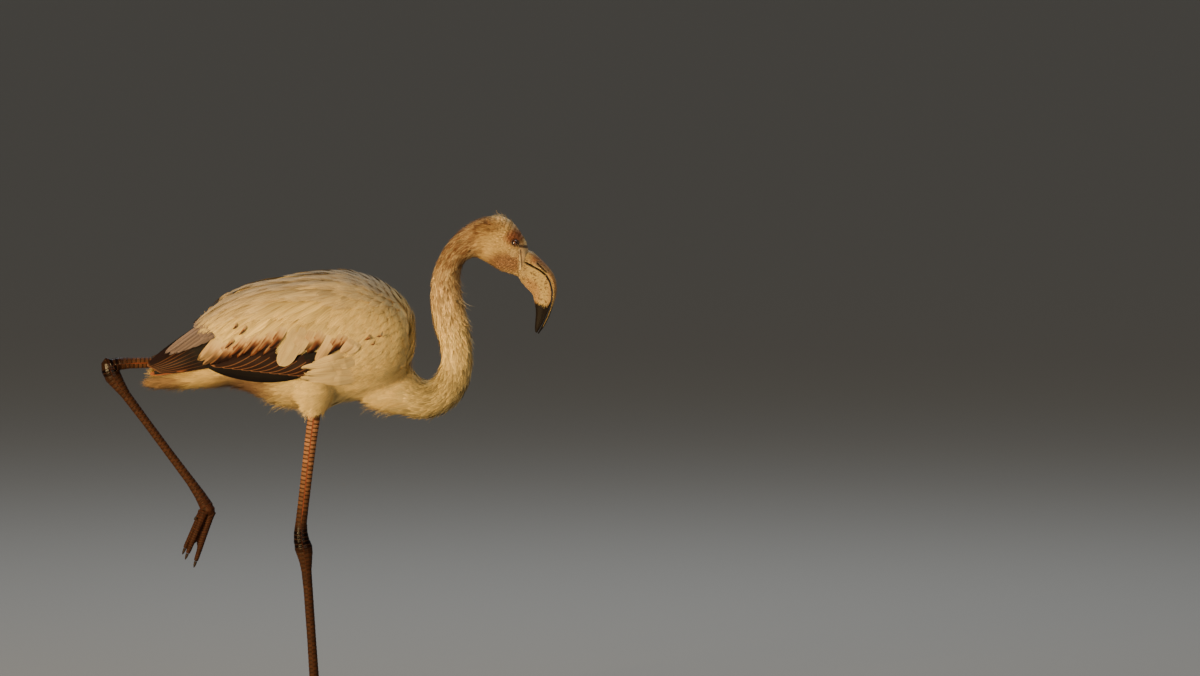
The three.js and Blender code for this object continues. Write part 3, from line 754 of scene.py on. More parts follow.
def feather_colours(roots, made, fringe=0.1, shaft=None, shaft_share=0.0, vary=0.05,
                    painted_root_shadow=0.15, painted_edge_shadow=0.0):
    """Each feather takes the markings at its root, a little lighter or darker, with painted shade
    towards its covered part and along its lower edge, a paler fringe, uneven barbs, and where
    given a shaft streak of its own colour."""
    _, along, across = made
    at, normal, _ = hide_under(roots)
    base = markings(at, normal) * (1 + vary * rng.uniform(-1, 1, (len(roots), 1)))
    rim = np.minimum(smooth(np.abs(across), 0.6, 1) + smooth(along, 0.8, 1), 1)
    shadowed_edge = smooth(across * np.sign(roots[:, 1])[:, None, None, None], 0.2, 1)
    barbs = BARB_TONE * rng.uniform(-1, 1, (*along.shape[:2], 1, 1))
    # Painted shade: darker towards the covered root and along the lower edge.
    tone = 1 - painted_root_shadow * smooth(along, 0.97, 0.5) + fringe * rim - painted_edge_shadow * shadowed_edge + barbs
    colours = base[:, None, None, None] * tone[..., None]
    if shaft is not None:
        share = np.asarray(shaft_share)[:, None, None, None] * smooth(np.abs(across), 0.75, 0.15)
        colours = tinted(colours, shaft, share * smooth(along, 0.1, 0.5))
    return colours


soft_barbs = feather_finish("soft_feathers", 0.85, 0.30)

# ---- Breast, belly, flank and undertail ----------------------------------------------------
# Soft body feathers, long and loose, that cover each other like thatch so that single ones
# hardly show.
in_body = in_part["trunk"] | in_part["neck_base"]
hide_x, hide_y, hide_z = (envelope / MM).T
on_back = in_body & (hide_z > 590) & (hide_x < 112)
below_wing = (in_part["tail"] | in_body) & ~on_back


def grown(name, wanted, spacing, size, high, lift, vary, stray, **shape):
    """A piece of plumage: vanes rooted where wanted, spacing mm apart, each as long and half as
    wide as size(x, y, z in mm) says, high (mm) over the hide at the tip and standing off by up
    to lift."""
    roots = scattered(wanted, lambda points: points / (spacing * MM), (spacing * MM) ** 2)
    at, normal, _ = hide_under(roots)
    x, y, z = (at / MM).T
    ways = lie(at, normal) + stray * rng.normal(size=at.shape)
    length, half = (value * MM * rng.uniform(0.8, 1.15, len(at)) for value in size(x, y, z))
    tall = high(x, y, z) * MM * rng.uniform(0.75, 1.2, len(at))
    made = vanes(at, ways, length, half, 0.4 * MM, tall, strips=9,
                 lift=lift(x, y, z) * MM * rng.uniform(0.2, 1.4, len(at)), **shape)
    colours = feather_colours(at, made, fringe=0.14, vary=vary, painted_root_shadow=0.3)
    coat(name, made, colours, body_unwrap, at, soft_barbs)


def outermost(solids, x, z):
    """How far out to the bird's right (m) the solids reach at x, z (mm), or 0."""
    hit = solids.ray_cast(Vector((x * MM, -1, z * MM)), Vector((0, 1, 0)))[0]
    return 0.0 if hit is None else -hit.y


def quills_shown(x):
    """The lowest and highest z (mm) at which the quills are outermost at x."""
    shown = [z for z in range(504, 600, 2) if outermost(quill_tree, x, z) > outermost(solid_tree, x, z)]
    return min(shown, default=600) - 1.0, max(shown, default=500) + 1.0


# The coverts' lower edge (EDGE_HIGH) and the quills' (EDGE_LOW), at EDGE_X. Behind the last
# covert the wing's points run up to the top line.
quill_points, quill_faces, _ = solids_of(["primaries_right", "secondaries_right"])
quill_tree = BVHTree.FromPolygons(quill_points.tolist(), quill_faces.tolist())
EDGE_X = np.arange(-264, 40, 6.0)
EDGE_LOW, EDGE_HIGH = np.array([quills_shown(x) for x in EDGE_X]).T
TIP_EDGE = np.array([[-330, 700], [-201, 700], [-196, 592], [-172, 588], [-160, 574], [-150, 562]])
EDGE_HIGH = np.where(EDGE_X < -150, np.interp(EDGE_X, *TIP_EDGE.T), EDGE_HIGH)
EDGE_X, EDGE_HIGH = np.append(EDGE_X, [42, 200]), np.append(EDGE_HIGH, [480, 480])
EDGE_LOW = np.append(EDGE_LOW, [600, 600])


def behind_quills(x, y, z):
    """1 where the folded quills cover the body, 0 clear of them (mm)."""
    low, high = np.interp(x, EDGE_X, EDGE_LOW), np.interp(x, EDGE_X, EDGE_HIGH)
    return smooth(z, low - 3, low + 4) * smooth(z, high + 14, high + 6) * smooth(np.abs(y), 14, 22)


def belly_lift(x, y, z):
    """How far tips stand off: at the ragged plumes behind the thigh and under the breast."""
    flank = 7 * smooth(np.abs(x + 44), 26, 8) * smooth(z, 500, 486)
    breast = 8 * smooth(np.abs(x - 104), 36, 16) * smooth(z, 480, 462)
    low = 3 * smooth(z, 496, 476) * smooth(np.abs(x - 60), 12, 24)
    return (1.0 + low + flank + breast) * (1 - behind_quills(x, y, z))


grown("breast_belly", in_body & (hide_x > -100) & ~on_back, 6.5,
      size=lambda x, y, z: (27 + 9 * smooth(z, 520, 480), 6.5 + 0 * x),
      high=lambda x, y, z: 6 - 4.5 * behind_quills(x, y, z),
      lift=belly_lift, vary=0.10, stray=0.18, fray=0.7, parted=0.3, uneven=0.18, free=0.55)
grown("under_tail", below_wing & (hide_x <= -100) & (hide_x > -262) & (hide_z < 545), 7,
      size=lambda x, y, z: (np.clip((x + 274) / 1.1, 10, 34), 6 + 0 * x),
      high=lambda x, y, z: 4 - 2.5 * behind_quills(x, y, z),
      lift=lambda x, y, z: 1.5 + 4 * smooth(z, 512, 500),
      vary=0.12, stray=0.2, fray=0.75, parted=0.25, uneven=0.25)


# ---- Thighs --------------------------------------------------------------------------------
# Soft cream plumes like the belly's, rooted in the hide of the thighs. They end in a ragged
# cuff of shorter ones where the bare leg begins.
def cuff(z):
    """1 at the ragged edge above the bare leg, 0 from 16 mm higher up (z in mm)."""
    return smooth(z, 486, 470)


grown("thigh_plumes", in_thigh & (hide_z > 469), 3.9,
      size=lambda x, y, z: (20 - 7 * cuff(z), 4.6 - 0.6 * cuff(z)),
      high=lambda x, y, z: 4 + 5 * smooth(z, 500, 482) * smooth(x, 10, -20),
      lift=lambda x, y, z: 4 * smooth(z, 492, 472),
      vary=0.10, stray=0.24, fray=0.85, parted=0.1, uneven=0.3)

# ---- Wing coverts ----------------------------------------------------------------------------
# Broad overlapping feathers over the folded wing: short at the shoulder, longer towards the
# rear, ending in a waved edge over the quills. Long narrow ones lie along the top.
wide_barbs = feather_finish("wide_feathers", 0.8, 0.5, 0.6, 2.0)
LONGEST = 90  # mm


def room_over_edge(at, ways, over):
    """How far (m) a feather rooted at each point may reach before it passes the wing's lower
    edge by over (mm)."""
    reach = np.linspace(0, LONGEST, 31)
    x = at[:, None, 0] / MM + ways[:, None, 0] * reach
    z = at[:, None, 2] / MM + ways[:, None, 2] * reach
    past = z < np.interp(x, EDGE_X, EDGE_HIGH) - over[:, None]
    return np.where(past.any(1), reach[past.argmax(1)], LONGEST) * MM


def wing_piece(name, roots, wanted, length, half, tones, over=(1, 6), stray=0.06, high=5.5, **shape):
    """Wing feathers at those roots that are wanted, as long and half as wide as length(x) and
    half(x) say (mm), ending at the wing's lower edge, and flatter at the back's ridge."""
    at, normal, vertex = hide_under(roots)
    at, normal = at[wanted[vertex]], normal[wanted[vertex]]
    ways = flat_on(lie(at, normal) + stray * rng.normal(size=at.shape), normal)
    span = length(at[:, 0] / MM) * MM * rng.uniform(0.88, 1.12, len(at))
    room = room_over_edge(at, ways, rng.uniform(*over, len(at)))
    roomy = room > 10 * MM
    at, ways, span = at[roomy], ways[roomy], np.minimum(span, room)[roomy]
    below = smooth(np.interp(at[:, 0] / MM, *TOP_LINE.T) - at[:, 2] / MM, 4, 26)
    tall = (1.15 - 0.15 * below) * high * MM * rng.uniform(0.85, 1.1, len(at))
    width = np.minimum(half(at[:, 0] / MM) * (0.6 + 0.4 * below) * MM, 0.45 * span)
    made = vanes(at, ways, span, width, 0.5 * MM, tall, turn=0.5, free=0.0, **shape)
    coat(name, made, feather_colours(at, made, **tones), body_unwrap, at, wide_barbs)


under_top = np.interp(hide_x, *TOP_LINE.T) - hide_z
for side, name in ((-1, "right"), (1, "left")):
    on_side = (in_wing | on_back) & (hide_y * side > -1)
    wing_piece("shoulder_" + name, in_rows(side, 9.5, 11, 0.85), on_side & (hide_x > 38),
               lambda x: 24 + 10 * smooth(x, 90, 40), lambda x: 7 + 1.5 * smooth(x, 90, 40),
               {"fringe": 0.10, "vary": 0.07, "painted_root_shadow": 0.24},
               strips=9, stations=6, fray=0.45, parted=0.5, round_tip=0.4)
    wing_piece("coverts_" + name, in_rows(side, 13, 23, 0.72), on_side & (hide_x < 66),
               lambda x: 52 + 18 * smooth(x, 20, -60), lambda x: 11 + 0 * x,
               {"fringe": 0.08, "vary": 0.10, "painted_root_shadow": 0.36, "painted_edge_shadow": 0.18},
               strips=15, stations=9, knots=6, fray=0.35, parted=0.62, round_tip=0.3,
               uneven=0.035, taper=0.25)
    along_top = on_side & (under_top < 44) & (under_top > 1) & (hide_x < 30) & (hide_x > -160)
    wing_piece("tertials_" + name, in_rows(side, 9, 34, 0.45), along_top,
               lambda x: 74 + 20 * smooth(x, 30, -80), lambda x: 6 + 0 * x,
               {"fringe": 0.08, "vary": 0.12, "painted_root_shadow": 0.15, "painted_edge_shadow": 0.42},
               over=(-2, 3), stray=0.03, high=6.3, strips=9, stations=11, knots=9, fray=0.35,
               parted=0.8, taper=0.75, round_tip=0.5, uneven=0.03)

# ---- Neck ------------------------------------------------------------------------------------
# Short narrow feathers, rooted close together all round the neck. They are streaked brown
# along the nape and towards the head, and ruffled on the front.
NECK_LENGTH, NECK_ROUND = 504, 132  # mm: the neck's line, and the way round the neck


def neck_piece(name, wanted, across, along, sizes, lift, tones, **shape):
    """Feathers of neck and head on cells across by along (mm), each with a brown shaft streak
    where the markings say so. sizes(place on the neck's line, point in mm) gives length, half
    width and height at the tip, and lift how far the tip may stand off."""
    cells = (NECK_LENGTH / along, NECK_ROUND / across)
    roots = scattered(wanted, lambda points: neck_unwrap(points) * cells, across * along * MM**2)
    at, normal, _ = hide_under(roots)
    place, _, _ = along_neck(at)
    n = len(at)
    length, half, high = (value * MM * rng.uniform(1 - vary, 1 + vary, n)
                          for value, vary in zip(sizes(place, at / MM), (0.2, 0.2, 0.4)))
    ways = lie(at, normal) + 0.12 * rng.normal(size=at.shape)
    made = vanes(at, ways, length, half, 0.2 * MM, high,
                 lift=lift(place, at / MM, normal) * MM * rng.uniform(0, 1.3, n) ** 1.5, **shape)
    share = how_streaked(at) * (rng.random(n) < 0.7) * rng.uniform(0.6, 1, n)
    colours = feather_colours(at, made, shaft=STREAK_BROWN, shaft_share=share, **tones)
    coat(name, made, colours, neck_unwrap, at, soft_barbs)


def neck_sizes(place, at):
    """Feathers get shorter, narrower and flatter from the breast up to the nape."""
    length = np.interp(place, [3, 6, 12, 14], [26, 22, 16, 12])
    half = np.interp(place, [3, 6, 12, 14], [4.6, 3.8, 2.1, 1.7])
    return length, half, np.interp(place, [4, 10, 13.5], [4.6, 3.8, 2.8])


def ruffled(place, at, normal):
    """The front of the neck is ruffled in rows half way up, and loose low down."""
    rows = 0.35 + 0.65 * smooth(np.sin(place * 9.5 + at[:, 1] / 9), -0.2, 0.8)
    front = 8 * rows * smooth(normal[:, 0], 0.0, 0.7) * smooth(np.abs(place - 9.4), 3.6, 1.4)
    return front + 4 * smooth(normal[:, 2], -0.2, -0.8) * smooth(place, 5.5, 4)


for name, wanted, across, along in (("neck_low", in_neck & (neck_place < 8), 4.2, 8.0),
                                    ("neck_high", in_neck & (neck_place >= 8), 2.5, 4.8)):
    neck_piece(name, wanted, across, along, neck_sizes, ruffled,
               {"fringe": 0.6, "vary": 0.28, "painted_root_shadow": 0.5},
               strips=5, stations=5, knots=4, fray=0.6, parted=0.45, narrow=0.5, round_tip=0.5)


# ---- Head ------------------------------------------------------------------------------------
# Plush of tiny tufts, shortest round the eye and at the bill; the face ahead of the eye is bare.
# A few stand up as a low ragged crest over the crown.
def crown(at):
    """1 near the top of the head, falling to 0 at 16 mm from it (points in mm)."""
    return smooth(((at - (271, 0, 756)) ** 2).sum(1), 260, 50)


def head_sizes(place, at):
    """Tufts get shorter and flatter from the nape to the face, and are longer on the crown."""
    x = at[:, 0]
    length = 8.5 - 4.0 * smooth(x, 235, 280) + 3 * crown(at)
    half = 1.6 - 0.4 * smooth(x, 235, 280)
    return length, half, 2.6 - 1.4 * smooth(x, 235, 285) + 1.5 * crown(at)


def crest(place, at, normal):
    """How far (mm) tips stand up on the crown and at the back of the head."""
    return 5 * crown(at) + 2.5 * smooth(at[:, 0], 262, 240) * smooth(at[:, 2], 728, 740)


clear_of_eye = np.linalg.norm((hide - EYE)[:, ::2], axis=1) > 6.4 * MM
neck_piece("head_tufts", in_head * (1 - bare_face(hide)) * clear_of_eye, 1.9, 3.4, head_sizes, crest,
           {"fringe": 0.2, "vary": 0.14, "painted_root_shadow": 0.25},
           strips=3, stations=4, knots=3, fray=0.6, parted=0.3, narrow=0.6)

# ---- Quills ----------------------------------------------------------------------------------
# The folded flight feathers: stiff blades laid over each other, each a shaft with two vanes.
# The secondaries are dark brown with a thin pale fringe, the primaries nearly black.
quill_barbs = feather_finish("stiff_feathers", 0.7, 0.5, 0.3, 1.2)
FRINGE, RUST = linear(128, 86, 58), linear(104, 60, 36)
QUILL_BROWN, QUILL_BLACK = linear(32, 13, 6), linear(15, 6, 2)
LEFT_TIP_DROP = 5.0  # mm that the left wing's tip hangs lower than the right's

# How far out the bird's side lies (mm), on a grid of x and z: the ground all quills lie on.
GROUND_GRAIN = 3.0
GROUND_X, GROUND_Z = np.arange(-282, 72, GROUND_GRAIN), np.arange(492, 660, GROUND_GRAIN)
ground = np.array([[max(outermost(solids, x, z) for solids in (solid_tree, quill_tree))
                    for z in GROUND_Z] for x in GROUND_X]) / MM


def summed(field):
    """Each cell of a grid with its eight neighbours, added up."""
    padded = np.pad(field, 1, "edge")
    moves = [(i, k) for i in (-1, 0, 1) for k in (-1, 0, 1)]
    return sum(np.roll(padded, move, (0, 1)) for move in moves)[1:-1, 1:-1]


# Cells off the bird take the mean of their neighbours, ring by ring, and all is then evened
# out: three rounds over the wing, sixteen behind it where only the wing's points are.
reached = ground > 0
while not reached.all():
    near = summed(reached * 1.0)
    ground = np.where(reached, ground, summed(ground * reached) / np.maximum(near, 1))
    reached = near > 0
even = [ground]
for _ in range(16):
    even.append(summed(even[-1]) / 9)
ground = even[3] + (even[16] - even[3]) * smooth(GROUND_X, -168, -186)[:, None]


def wing_side(x, z):
    """How far out (mm) the bird's side lies at x, z, straight between the grid's knots."""
    i = np.clip((x - GROUND_X[0]) / GROUND_GRAIN, 0, len(GROUND_X) - 1.001)
    k = np.clip((z - GROUND_Z[0]) / GROUND_GRAIN, 0, len(GROUND_Z) - 1.001)
    i0, k0 = i.astype(int), k.astype(int)
    s, t = i - i0, k - k0
    return ((1 - s) * (1 - t) * ground[i0, k0] + s * (1 - t) * ground[i0 + 1, k0]
            + (1 - s) * t * ground[i0, k0 + 1] + s * t * ground[i0 + 1, k0 + 1])


def blades(roots, tips, half, bow, layer, side, stations=34, across=14, blunt=0.16, ragged=0.0,
           sunk=0.0, tilt=0.8):
    """Long feathers as arched sheets between roots and tips (x, z in mm): the middle line bends
    down by bow, the width grows over the first quarter and closes in a curve over the last
    blunt, and the sheet lies layer (mm) over the ground, its lower edge out by tilt, sunk
    deeper at the root. Returns points, shares along and places across, as vanes without strips."""
    u = np.linspace(0, 1, stations)[None, :, None]
    v = np.linspace(-1, 1, across)[None, None, :]
    roots, tips = roots[:, None, None], tips[:, None, None]
    half, bow, layer, blunt, ragged = (np.broadcast_to(value, len(roots))[:, None, None]
                                       for value in (half, bow, layer, blunt, ragged))
    way = unit(tips - roots)
    off = np.stack([-way[..., 1], way[..., 0]], -1)
    share = u * (1 - ragged * rng.uniform(0, 1, (len(roots), 1, across)) * 0.1)
    closing = np.clip((1 - u) / blunt, 0, 1)
    width = half * smooth(share, -0.2, 0.25) * np.sqrt(0.97 * closing * (2 - closing) + 0.03 * (u < 1))
    middle = roots + (tips - roots) * share[..., None] + off * (bow * 4 * share * (1 - share))[..., None]
    place = middle + off * (width * v)[..., None]
    arch = tilt * v - 0.4 * v**2 + 0.2 * np.exp(-((v / 0.1) ** 2))
    depth = wing_side(place[..., 0], place[..., 1]) + layer + arch - sunk * np.clip(1 - share / 0.45, 0, 1)
    points = np.stack([place[..., 0], side * depth, place[..., 1]], -1) * MM
    return points, share + 0 * v, v + 0 * share


def sheet_faces(shape, flip):
    """Quads of n grids of stations by across, turned outward on either side of the bird."""
    index = np.arange(np.prod(shape)).reshape(shape)
    a, b = index[:, :-1, :-1], index[:, 1:, :-1]
    c, d = index[:, 1:, 1:], index[:, :-1, 1:]
    return np.stack([a, d, c, b] if flip else [a, b, c, d], -1).reshape(-1, 4)


def quill_piece(name, groups, side, replaced=()):
    """Several groups of blades with their colours as one piece. On the bake's map each group
    has one of 8 rows, and each of its blades one of 30 columns."""
    points, faces, tints, own, places, base = [], [], [], [], [], 0
    for (shape, along, across), colours, row in groups:
        n = len(shape)
        points.append(shape.reshape(-1, 3))
        faces.append(sheet_faces(shape.shape[:-1], side > 0) + base)
        base += len(points[-1])
        tints.append(colours.reshape(-1, 3))
        chance = np.broadcast_to(rng.random(n)[:, None, None], along.shape)
        own.append(np.stack([across, along, chance], -1).reshape(-1, 3))
        column = (np.arange(n)[:, None, None] + 0.5 + 0.45 * across) / 30
        places.append(np.stack([column, (row + 0.05 + 0.9 * along) / 8], -1).reshape(-1, 2))
    points, faces, tints, own, places = map(np.concatenate, (points, faces, tints, own, places))
    feathered(placed(name, points, faces, quill_barbs, replaced), tints, own, places)


def quill_tones(made, middle, fringe, fringe_from=0.86, tip_from=0.97, vary=0.08):
    """Blades in the middle's colour, each a little lighter or darker, with the fringe's along
    the upper edge and the tip."""
    _, along, across = made
    base = np.broadcast_to(middle, (len(along), 3)) * (1 + vary * rng.uniform(-1, 1, (len(along), 1)))
    colours = np.broadcast_to(base[:, None, None], (*along.shape, 3))
    rim = np.maximum(smooth(across, fringe_from, fringe_from + 0.1),
                     smooth(along, tip_from - 0.02, tip_from + 0.02))
    return tinted(colours, fringe, rim * smooth(along, 0.1, 0.3))


def fan(first, last, count, reach, bend):
    """Tips evenly from first to last (x, z in mm) and roots reach before them, each turned on
    by bend."""
    t = np.linspace(0, 1, count)[:, None]
    tips = first + (np.array(last) - first) * t
    return tips + np.array(reach) + bend * t, tips


for side, name in ((-1, "right"), (1, "left")):
    drop = np.array([0, LEFT_TIP_DROP * (side > 0)])
    # The dark outer primaries, long and plain, from under the coverts to the lower edge.
    roots = np.array([[4, 544], [10, 550], [2, 557]])
    tips = np.array([[-204, 557.5], [-200, 559], [-196, 561]])
    outer = blades(roots, tips, [11, 12, 12], [29, 24, 18], [-0.8, -0.5, -0.2], side, 60, blunt=0.3)
    # The primaries' points, closed like a fan behind the tertials, up to the wing's top line.
    roots, tips = fan((-266, 533), (-250, 525), 8, (88, 58), (24, -38))
    rear = blades(roots, tips - drop, 7, 1.0, 2.2 - 0.25 * np.arange(8), side, 50,
                  blunt=0.4, sunk=8, tilt=1.0)
    roots, tips = fan((-264, 535), (-243, 549), 4, (74, 54), (-6, -3))
    top = blades(roots - drop, tips - drop, 3.8, -1.5, 1.2 + 0.2 * np.arange(4), side, 50,
                 blunt=0.4, sunk=8)
    # The lowest point sticks out under the rest, with a rusty edge.
    lowest = blades(np.array([[-196, 533.0]]), np.array([[-262, 520.5]]) - drop, 4.4, 0.5, 0.6, side,
                    blunt=0.3)
    # The secondaries: blades whose tips step forward along the wing's lower edge.
    roots, tips = fan((-170, 536), (-30, 523), 11, (88, 54), (-6, -6))
    second = blades(roots, tips, 10, 9, 1.8 - 0.25 * np.arange(11), side, blunt=0.34, sunk=6, tilt=1.0)
    outer_tones = quill_tones(outer, QUILL_BLACK, QUILL_BLACK)
    rear_tones = quill_tones(rear, QUILL_BROWN, FRINGE * 0.8, 0.84, 0.97, 0.5)
    rear_tones = tinted(rear_tones, QUILL_BLACK, 0.8 * smooth(rear[1], 0.72, 0.3))
    quill_piece("quills_" + name, [
        (outer, outer_tones, 0), (rear, rear_tones, 1),
        (top, quill_tones(top, QUILL_BLACK, QUILL_BROWN, 0.7, 0.95, 0.3), 2),
        (lowest, quill_tones(lowest, QUILL_BLACK, RUST * 1.6, 0.5, 0.9), 4),
        (second, quill_tones(second, QUILL_BROWN, FRINGE, 0.84, 0.96, 0.25), 3)],
        side, ("primaries_" + name, "secondaries_" + name))

# ---- Greater coverts and tertials ----------------------------------------------------------------
# The last row of wing coverts hangs over the quills: cream blades with rust towards their
# frayed tips, and a dark brown streak along the lower edge that is partly their own brown and
# partly painted shadow between them. Small brown ticks show among the coverts, pale flank
# feathers cover the quills' front, and grey tertials lie over the wing's points.
GREY_PINK, COVERT_PALE = linear(120, 104, 98), linear(208, 182, 128)

# Each row: tip x, z, length, half width (mm), slant in degrees, share of rust, and layer (mm).
HANGING = np.array([
    [-189, 542, 56, 7.5, 50, 0.35, 5], [-182, 536, 62, 7.5, 49, 0.55, 4.2],
    [-172, 536, 62, 7.5, 48, 0.8, 3.4], [-162, 537, 62, 7, 47, 0.95, 2.8],
    [-151, 542, 58, 6, 48, 1, 2.4], [-142, 549, 56, 6, 50, 1, 3.2],
    [-132, 546, 58, 6, 50, 1, 2.6], [-121, 553, 52, 5.5, 52, 1, 3.2],
    [-111, 549, 56, 6, 52, 1, 2.6], [-100, 556, 54, 6, 54, 1, 3.2],
    [-91, 552, 56, 6.5, 54, 1, 2.6], [-82, 563, 50, 6, 56, 1, 3.2],
    [-66, 537, 66, 13, 61, 0, 5.6], [-48, 554, 52, 11, 60, 0.05, 4.6],
    [-36, 558, 48, 8, 58, 0.5, 3.4], [-24, 556, 52, 7, 58, 1, 2.6],
    [-12, 543, 58, 8, 60, 0.3, 3.6], [-3, 547, 56, 6.5, 57, 1, 2.4],
    [6, 555, 48, 6, 55, 1, 3], [15, 559, 42, 5.5, 54, 1, 2.4],
    [25, 557, 36, 6.5, 52, 0.2, 3.4], [35, 555, 32, 6, 50, 0.05, 2.4],
    [-127, 582, 26, 1.6, 60, 1, 3], [-136, 591, 14, 1.4, 68, 1, 3],
    [-149, 561, 30, 2.2, 56, 1, 3], [-143, 566, 18, 1.6, 62, 1, 3.4],
    [61, 576, 15, 2.2, 48, 1, 3], [79, 581, 12, 1.8, 40, 1, 3], [70, 569, 9, 1.4, 44, 1, 3],
    [-38, 519, 88, 8, 5, 0, 6.2], [-30, 527, 78, 7, 9, 0, 5.8], [-35, 534, 80, 6, 13, 0, 5.4],
    [-20, 540, 64, 7, 18, 0, 4.8], [-8, 530, 60, 8, 8, 0, 5], [6, 538, 48, 8, 12, 0, 4.4],
    [-12, 516, 64, 8, 2, 0, 5.2], [-33, 524, 84, 5, 6, 0, 6.6]])
TERTIALS = np.array([
    [-240, 551, 92, 4.2, 36.5, 0, 4.6], [-233, 550, 86, 4.8, 36.5, 0, 4.2],
    [-224, 552, 78, 5.4, 36, 0, 3.8], [-212, 557, 66, 6, 35, 0, 3.4],
    [-199, 563, 52, 6.2, 34, 0, 3], [-187, 569, 40, 6.5, 33, 0, 2.6]])


def laid(table, side, bow, **shape):
    """Blades from a table's rows; the left wing's tip hangs lower than the right's."""
    x, z, span, half, slant, _, layers = table.T
    tips = np.stack([x, z - LEFT_TIP_DROP * (side > 0) * smooth(x, -150, -190)], 1)
    slant = np.radians(slant)
    roots = tips + span[:, None] * np.stack([np.cos(slant), np.sin(slant)], 1)
    return blades(roots, tips, half, bow, layers, side, **shape)


rust, of_flank, broad = HANGING[:, 5], HANGING[:, 4] < 30, HANGING[:, 3] > 9
# The two broad coverts are a fifth darker: painted shade on their hanging tips. The flank plumes are a
# little darker to sit with the body.
pale_tone = COVERT_PALE * np.where(broad, 0.8, np.where(of_flank, 0.88, 1))[:, None]
frayed = np.where((rust > 0.3) | of_flank, 1.5, 0.25)
for side, name in ((-1, "right"), (1, "left")):
    made = laid(HANGING, side, 2.5, stations=30, across=18, blunt=np.where(broad, 0.3, 0.42),
                ragged=frayed, sunk=10, tilt=0.3)
    _, along, across = made
    feather = np.arange(len(rust))[:, None, None] * 5.0 + 0 * along
    streak = grain_at(np.stack([across * 2.6, along * 1.2, feather], -1), 1.0, 9)
    share = rust[:, None, None]
    # The dark brown along each rusty covert's lower edge: partly its own streak, partly painted shadow
    # between the coverts.
    brown = np.minimum(1.4 * share, 1) * smooth(along, 0.45, 0.7) * smooth(across + 0.4 * streak, 0.0, 0.4)
    pale = 0.3 * share * smooth(np.abs(across + 0.45), 0.3, 0.1) * smooth(along, 0.95, 0.8)
    tones = washed(
        quill_tones(made, pale_tone, COVERT_PALE, vary=0.06),
        (RUST * 2.2, 0.5 * share * smooth(along, 0.2, 0.5)),
        (RUST, share * smooth(along + 0.12 * streak, 0.38, 0.6)),
        (COVERT_PALE * 0.8, pale),
        (QUILL_BROWN, brown))
    grey = laid(TERTIALS, side, -1.0, stations=36, blunt=0.35, ragged=0.5, sunk=11, tilt=1.0)
    across = grey[2]
    grey_tones = quill_tones(grey, GREY_PINK, GREY_PINK * 1.15, 0.8, 0.9, 0.2)
    # A dark shaft, and a dark lower edge that is painted shadow between the tertials.
    shaft_and_edge_shadow = 0.35 * smooth(np.abs(across), 0.25, 0.02) + 0.5 * smooth(across, 0.45, 1)
    grey_tones = grey_tones * (1 - shaft_and_edge_shadow)[..., None]
    quill_piece("greater_coverts_" + name, [(made, tones, 4), (grey, grey_tones, 5)], side)

# ---- Eyes and lids -----------------------------------------------------------------------------
# A dark brown eye with a round pupil under a wet surface, held in a ring of bare lid that
# wraps over the ball.
EYE_RADIUS, LID_RING, LID_THICK = 4.8 * MM, 4.9 * MM, 1.1 * MM
LID_OUT, LID_PINCH = 0.32 * EYE_RADIUS, 0.14


def eye_finish():
    """The iris is dark brown, darker at its rim, round a black pupil: both by the distance from
    the axis of the eye, held in the piece's own attribute."""
    material, start, shader = surface("eye", 0.12, Coat_Weight=0.35, Coat_Roughness=0.03)
    ring = kept(start, "axis", AS_NUMBER) + (noise(start, in_object(start), 2600.0) - 0.5) * 0.08
    iris = ring.step(0.35, 0.95).mix((0.15, 0.05, 0.018, 1), (0.016, 0.006, 0.003, 1))
    feed(shader, ring.step(0.36, 0.42).mix((0.003, 0.002, 0.002, 1), iris), "Base Color")
    return material


def lid_finish():
    """Dark wrinkled skin."""
    material, start, shader = surface("eyelid", 0.5)
    wrinkle = noise(start, in_object(start), 1500.0, 3.0)
    feed(shader, wrinkle.mix((0.020, 0.009, 0.005, 1), (0.06, 0.026, 0.014, 1)), "Base Color")
    bumped(shader, wrinkle, 0.5, 0.25 * MM)
    return material


def ring_tube(centre, out, radius, thick, pinch, sides=14, count=56):
    """A closed tube round centre in the plane across out: a circle of the given radius, drawn
    out at front and back by pinch, with the section's circle of the given thickness."""
    turn = np.linspace(0, 2 * np.pi, count, endpoint=False)[:, None]
    roll = np.linspace(0, 2 * np.pi, sides, endpoint=False)[None]
    ahead = flat_on(np.array([1.0, 0, -0.25]), out)
    above = np.cross(out, ahead)
    reach = radius * (1 + pinch * np.cos(turn) ** 4) + thick * np.cos(roll)
    points = centre + (reach * np.cos(turn))[..., None] * ahead + (reach * np.sin(turn))[..., None] * above
    points = points + (thick * np.sin(roll) + 0 * turn)[..., None] * out
    index = np.arange(count * sides).reshape(count, sides)
    onward = np.roll(index, -1, 0)
    faces = np.stack([index, onward, np.roll(onward, -1, 1), np.roll(index, -1, 1)], -1)
    return points.reshape(-1, 3), faces.reshape(-1, 4)


eye_material, lid_material = eye_finish(), lid_finish()
for side, name in ((-1, "right"), (1, "left")):
    centre = EYE * (1, -side, 1)
    facing = unit(np.array([0.42, side, 0.22]))
    shell, faces = ball(np.zeros(3), EYE_RADIUS, 40, 56)
    mesh = placed("eyeball_" + name, centre + shell, faces, eye_material, ("eye_" + name,))
    from_axis = np.linalg.norm(np.cross(shell / EYE_RADIUS, facing), axis=1)
    stored(mesh, "axis", np.where(shell @ facing > 0, from_axis, 1))
    points, faces = ring_tube(centre + facing * LID_OUT, facing, LID_RING, LID_THICK, LID_PINCH)
    placed("eyelid_" + name, points, faces, lid_material)

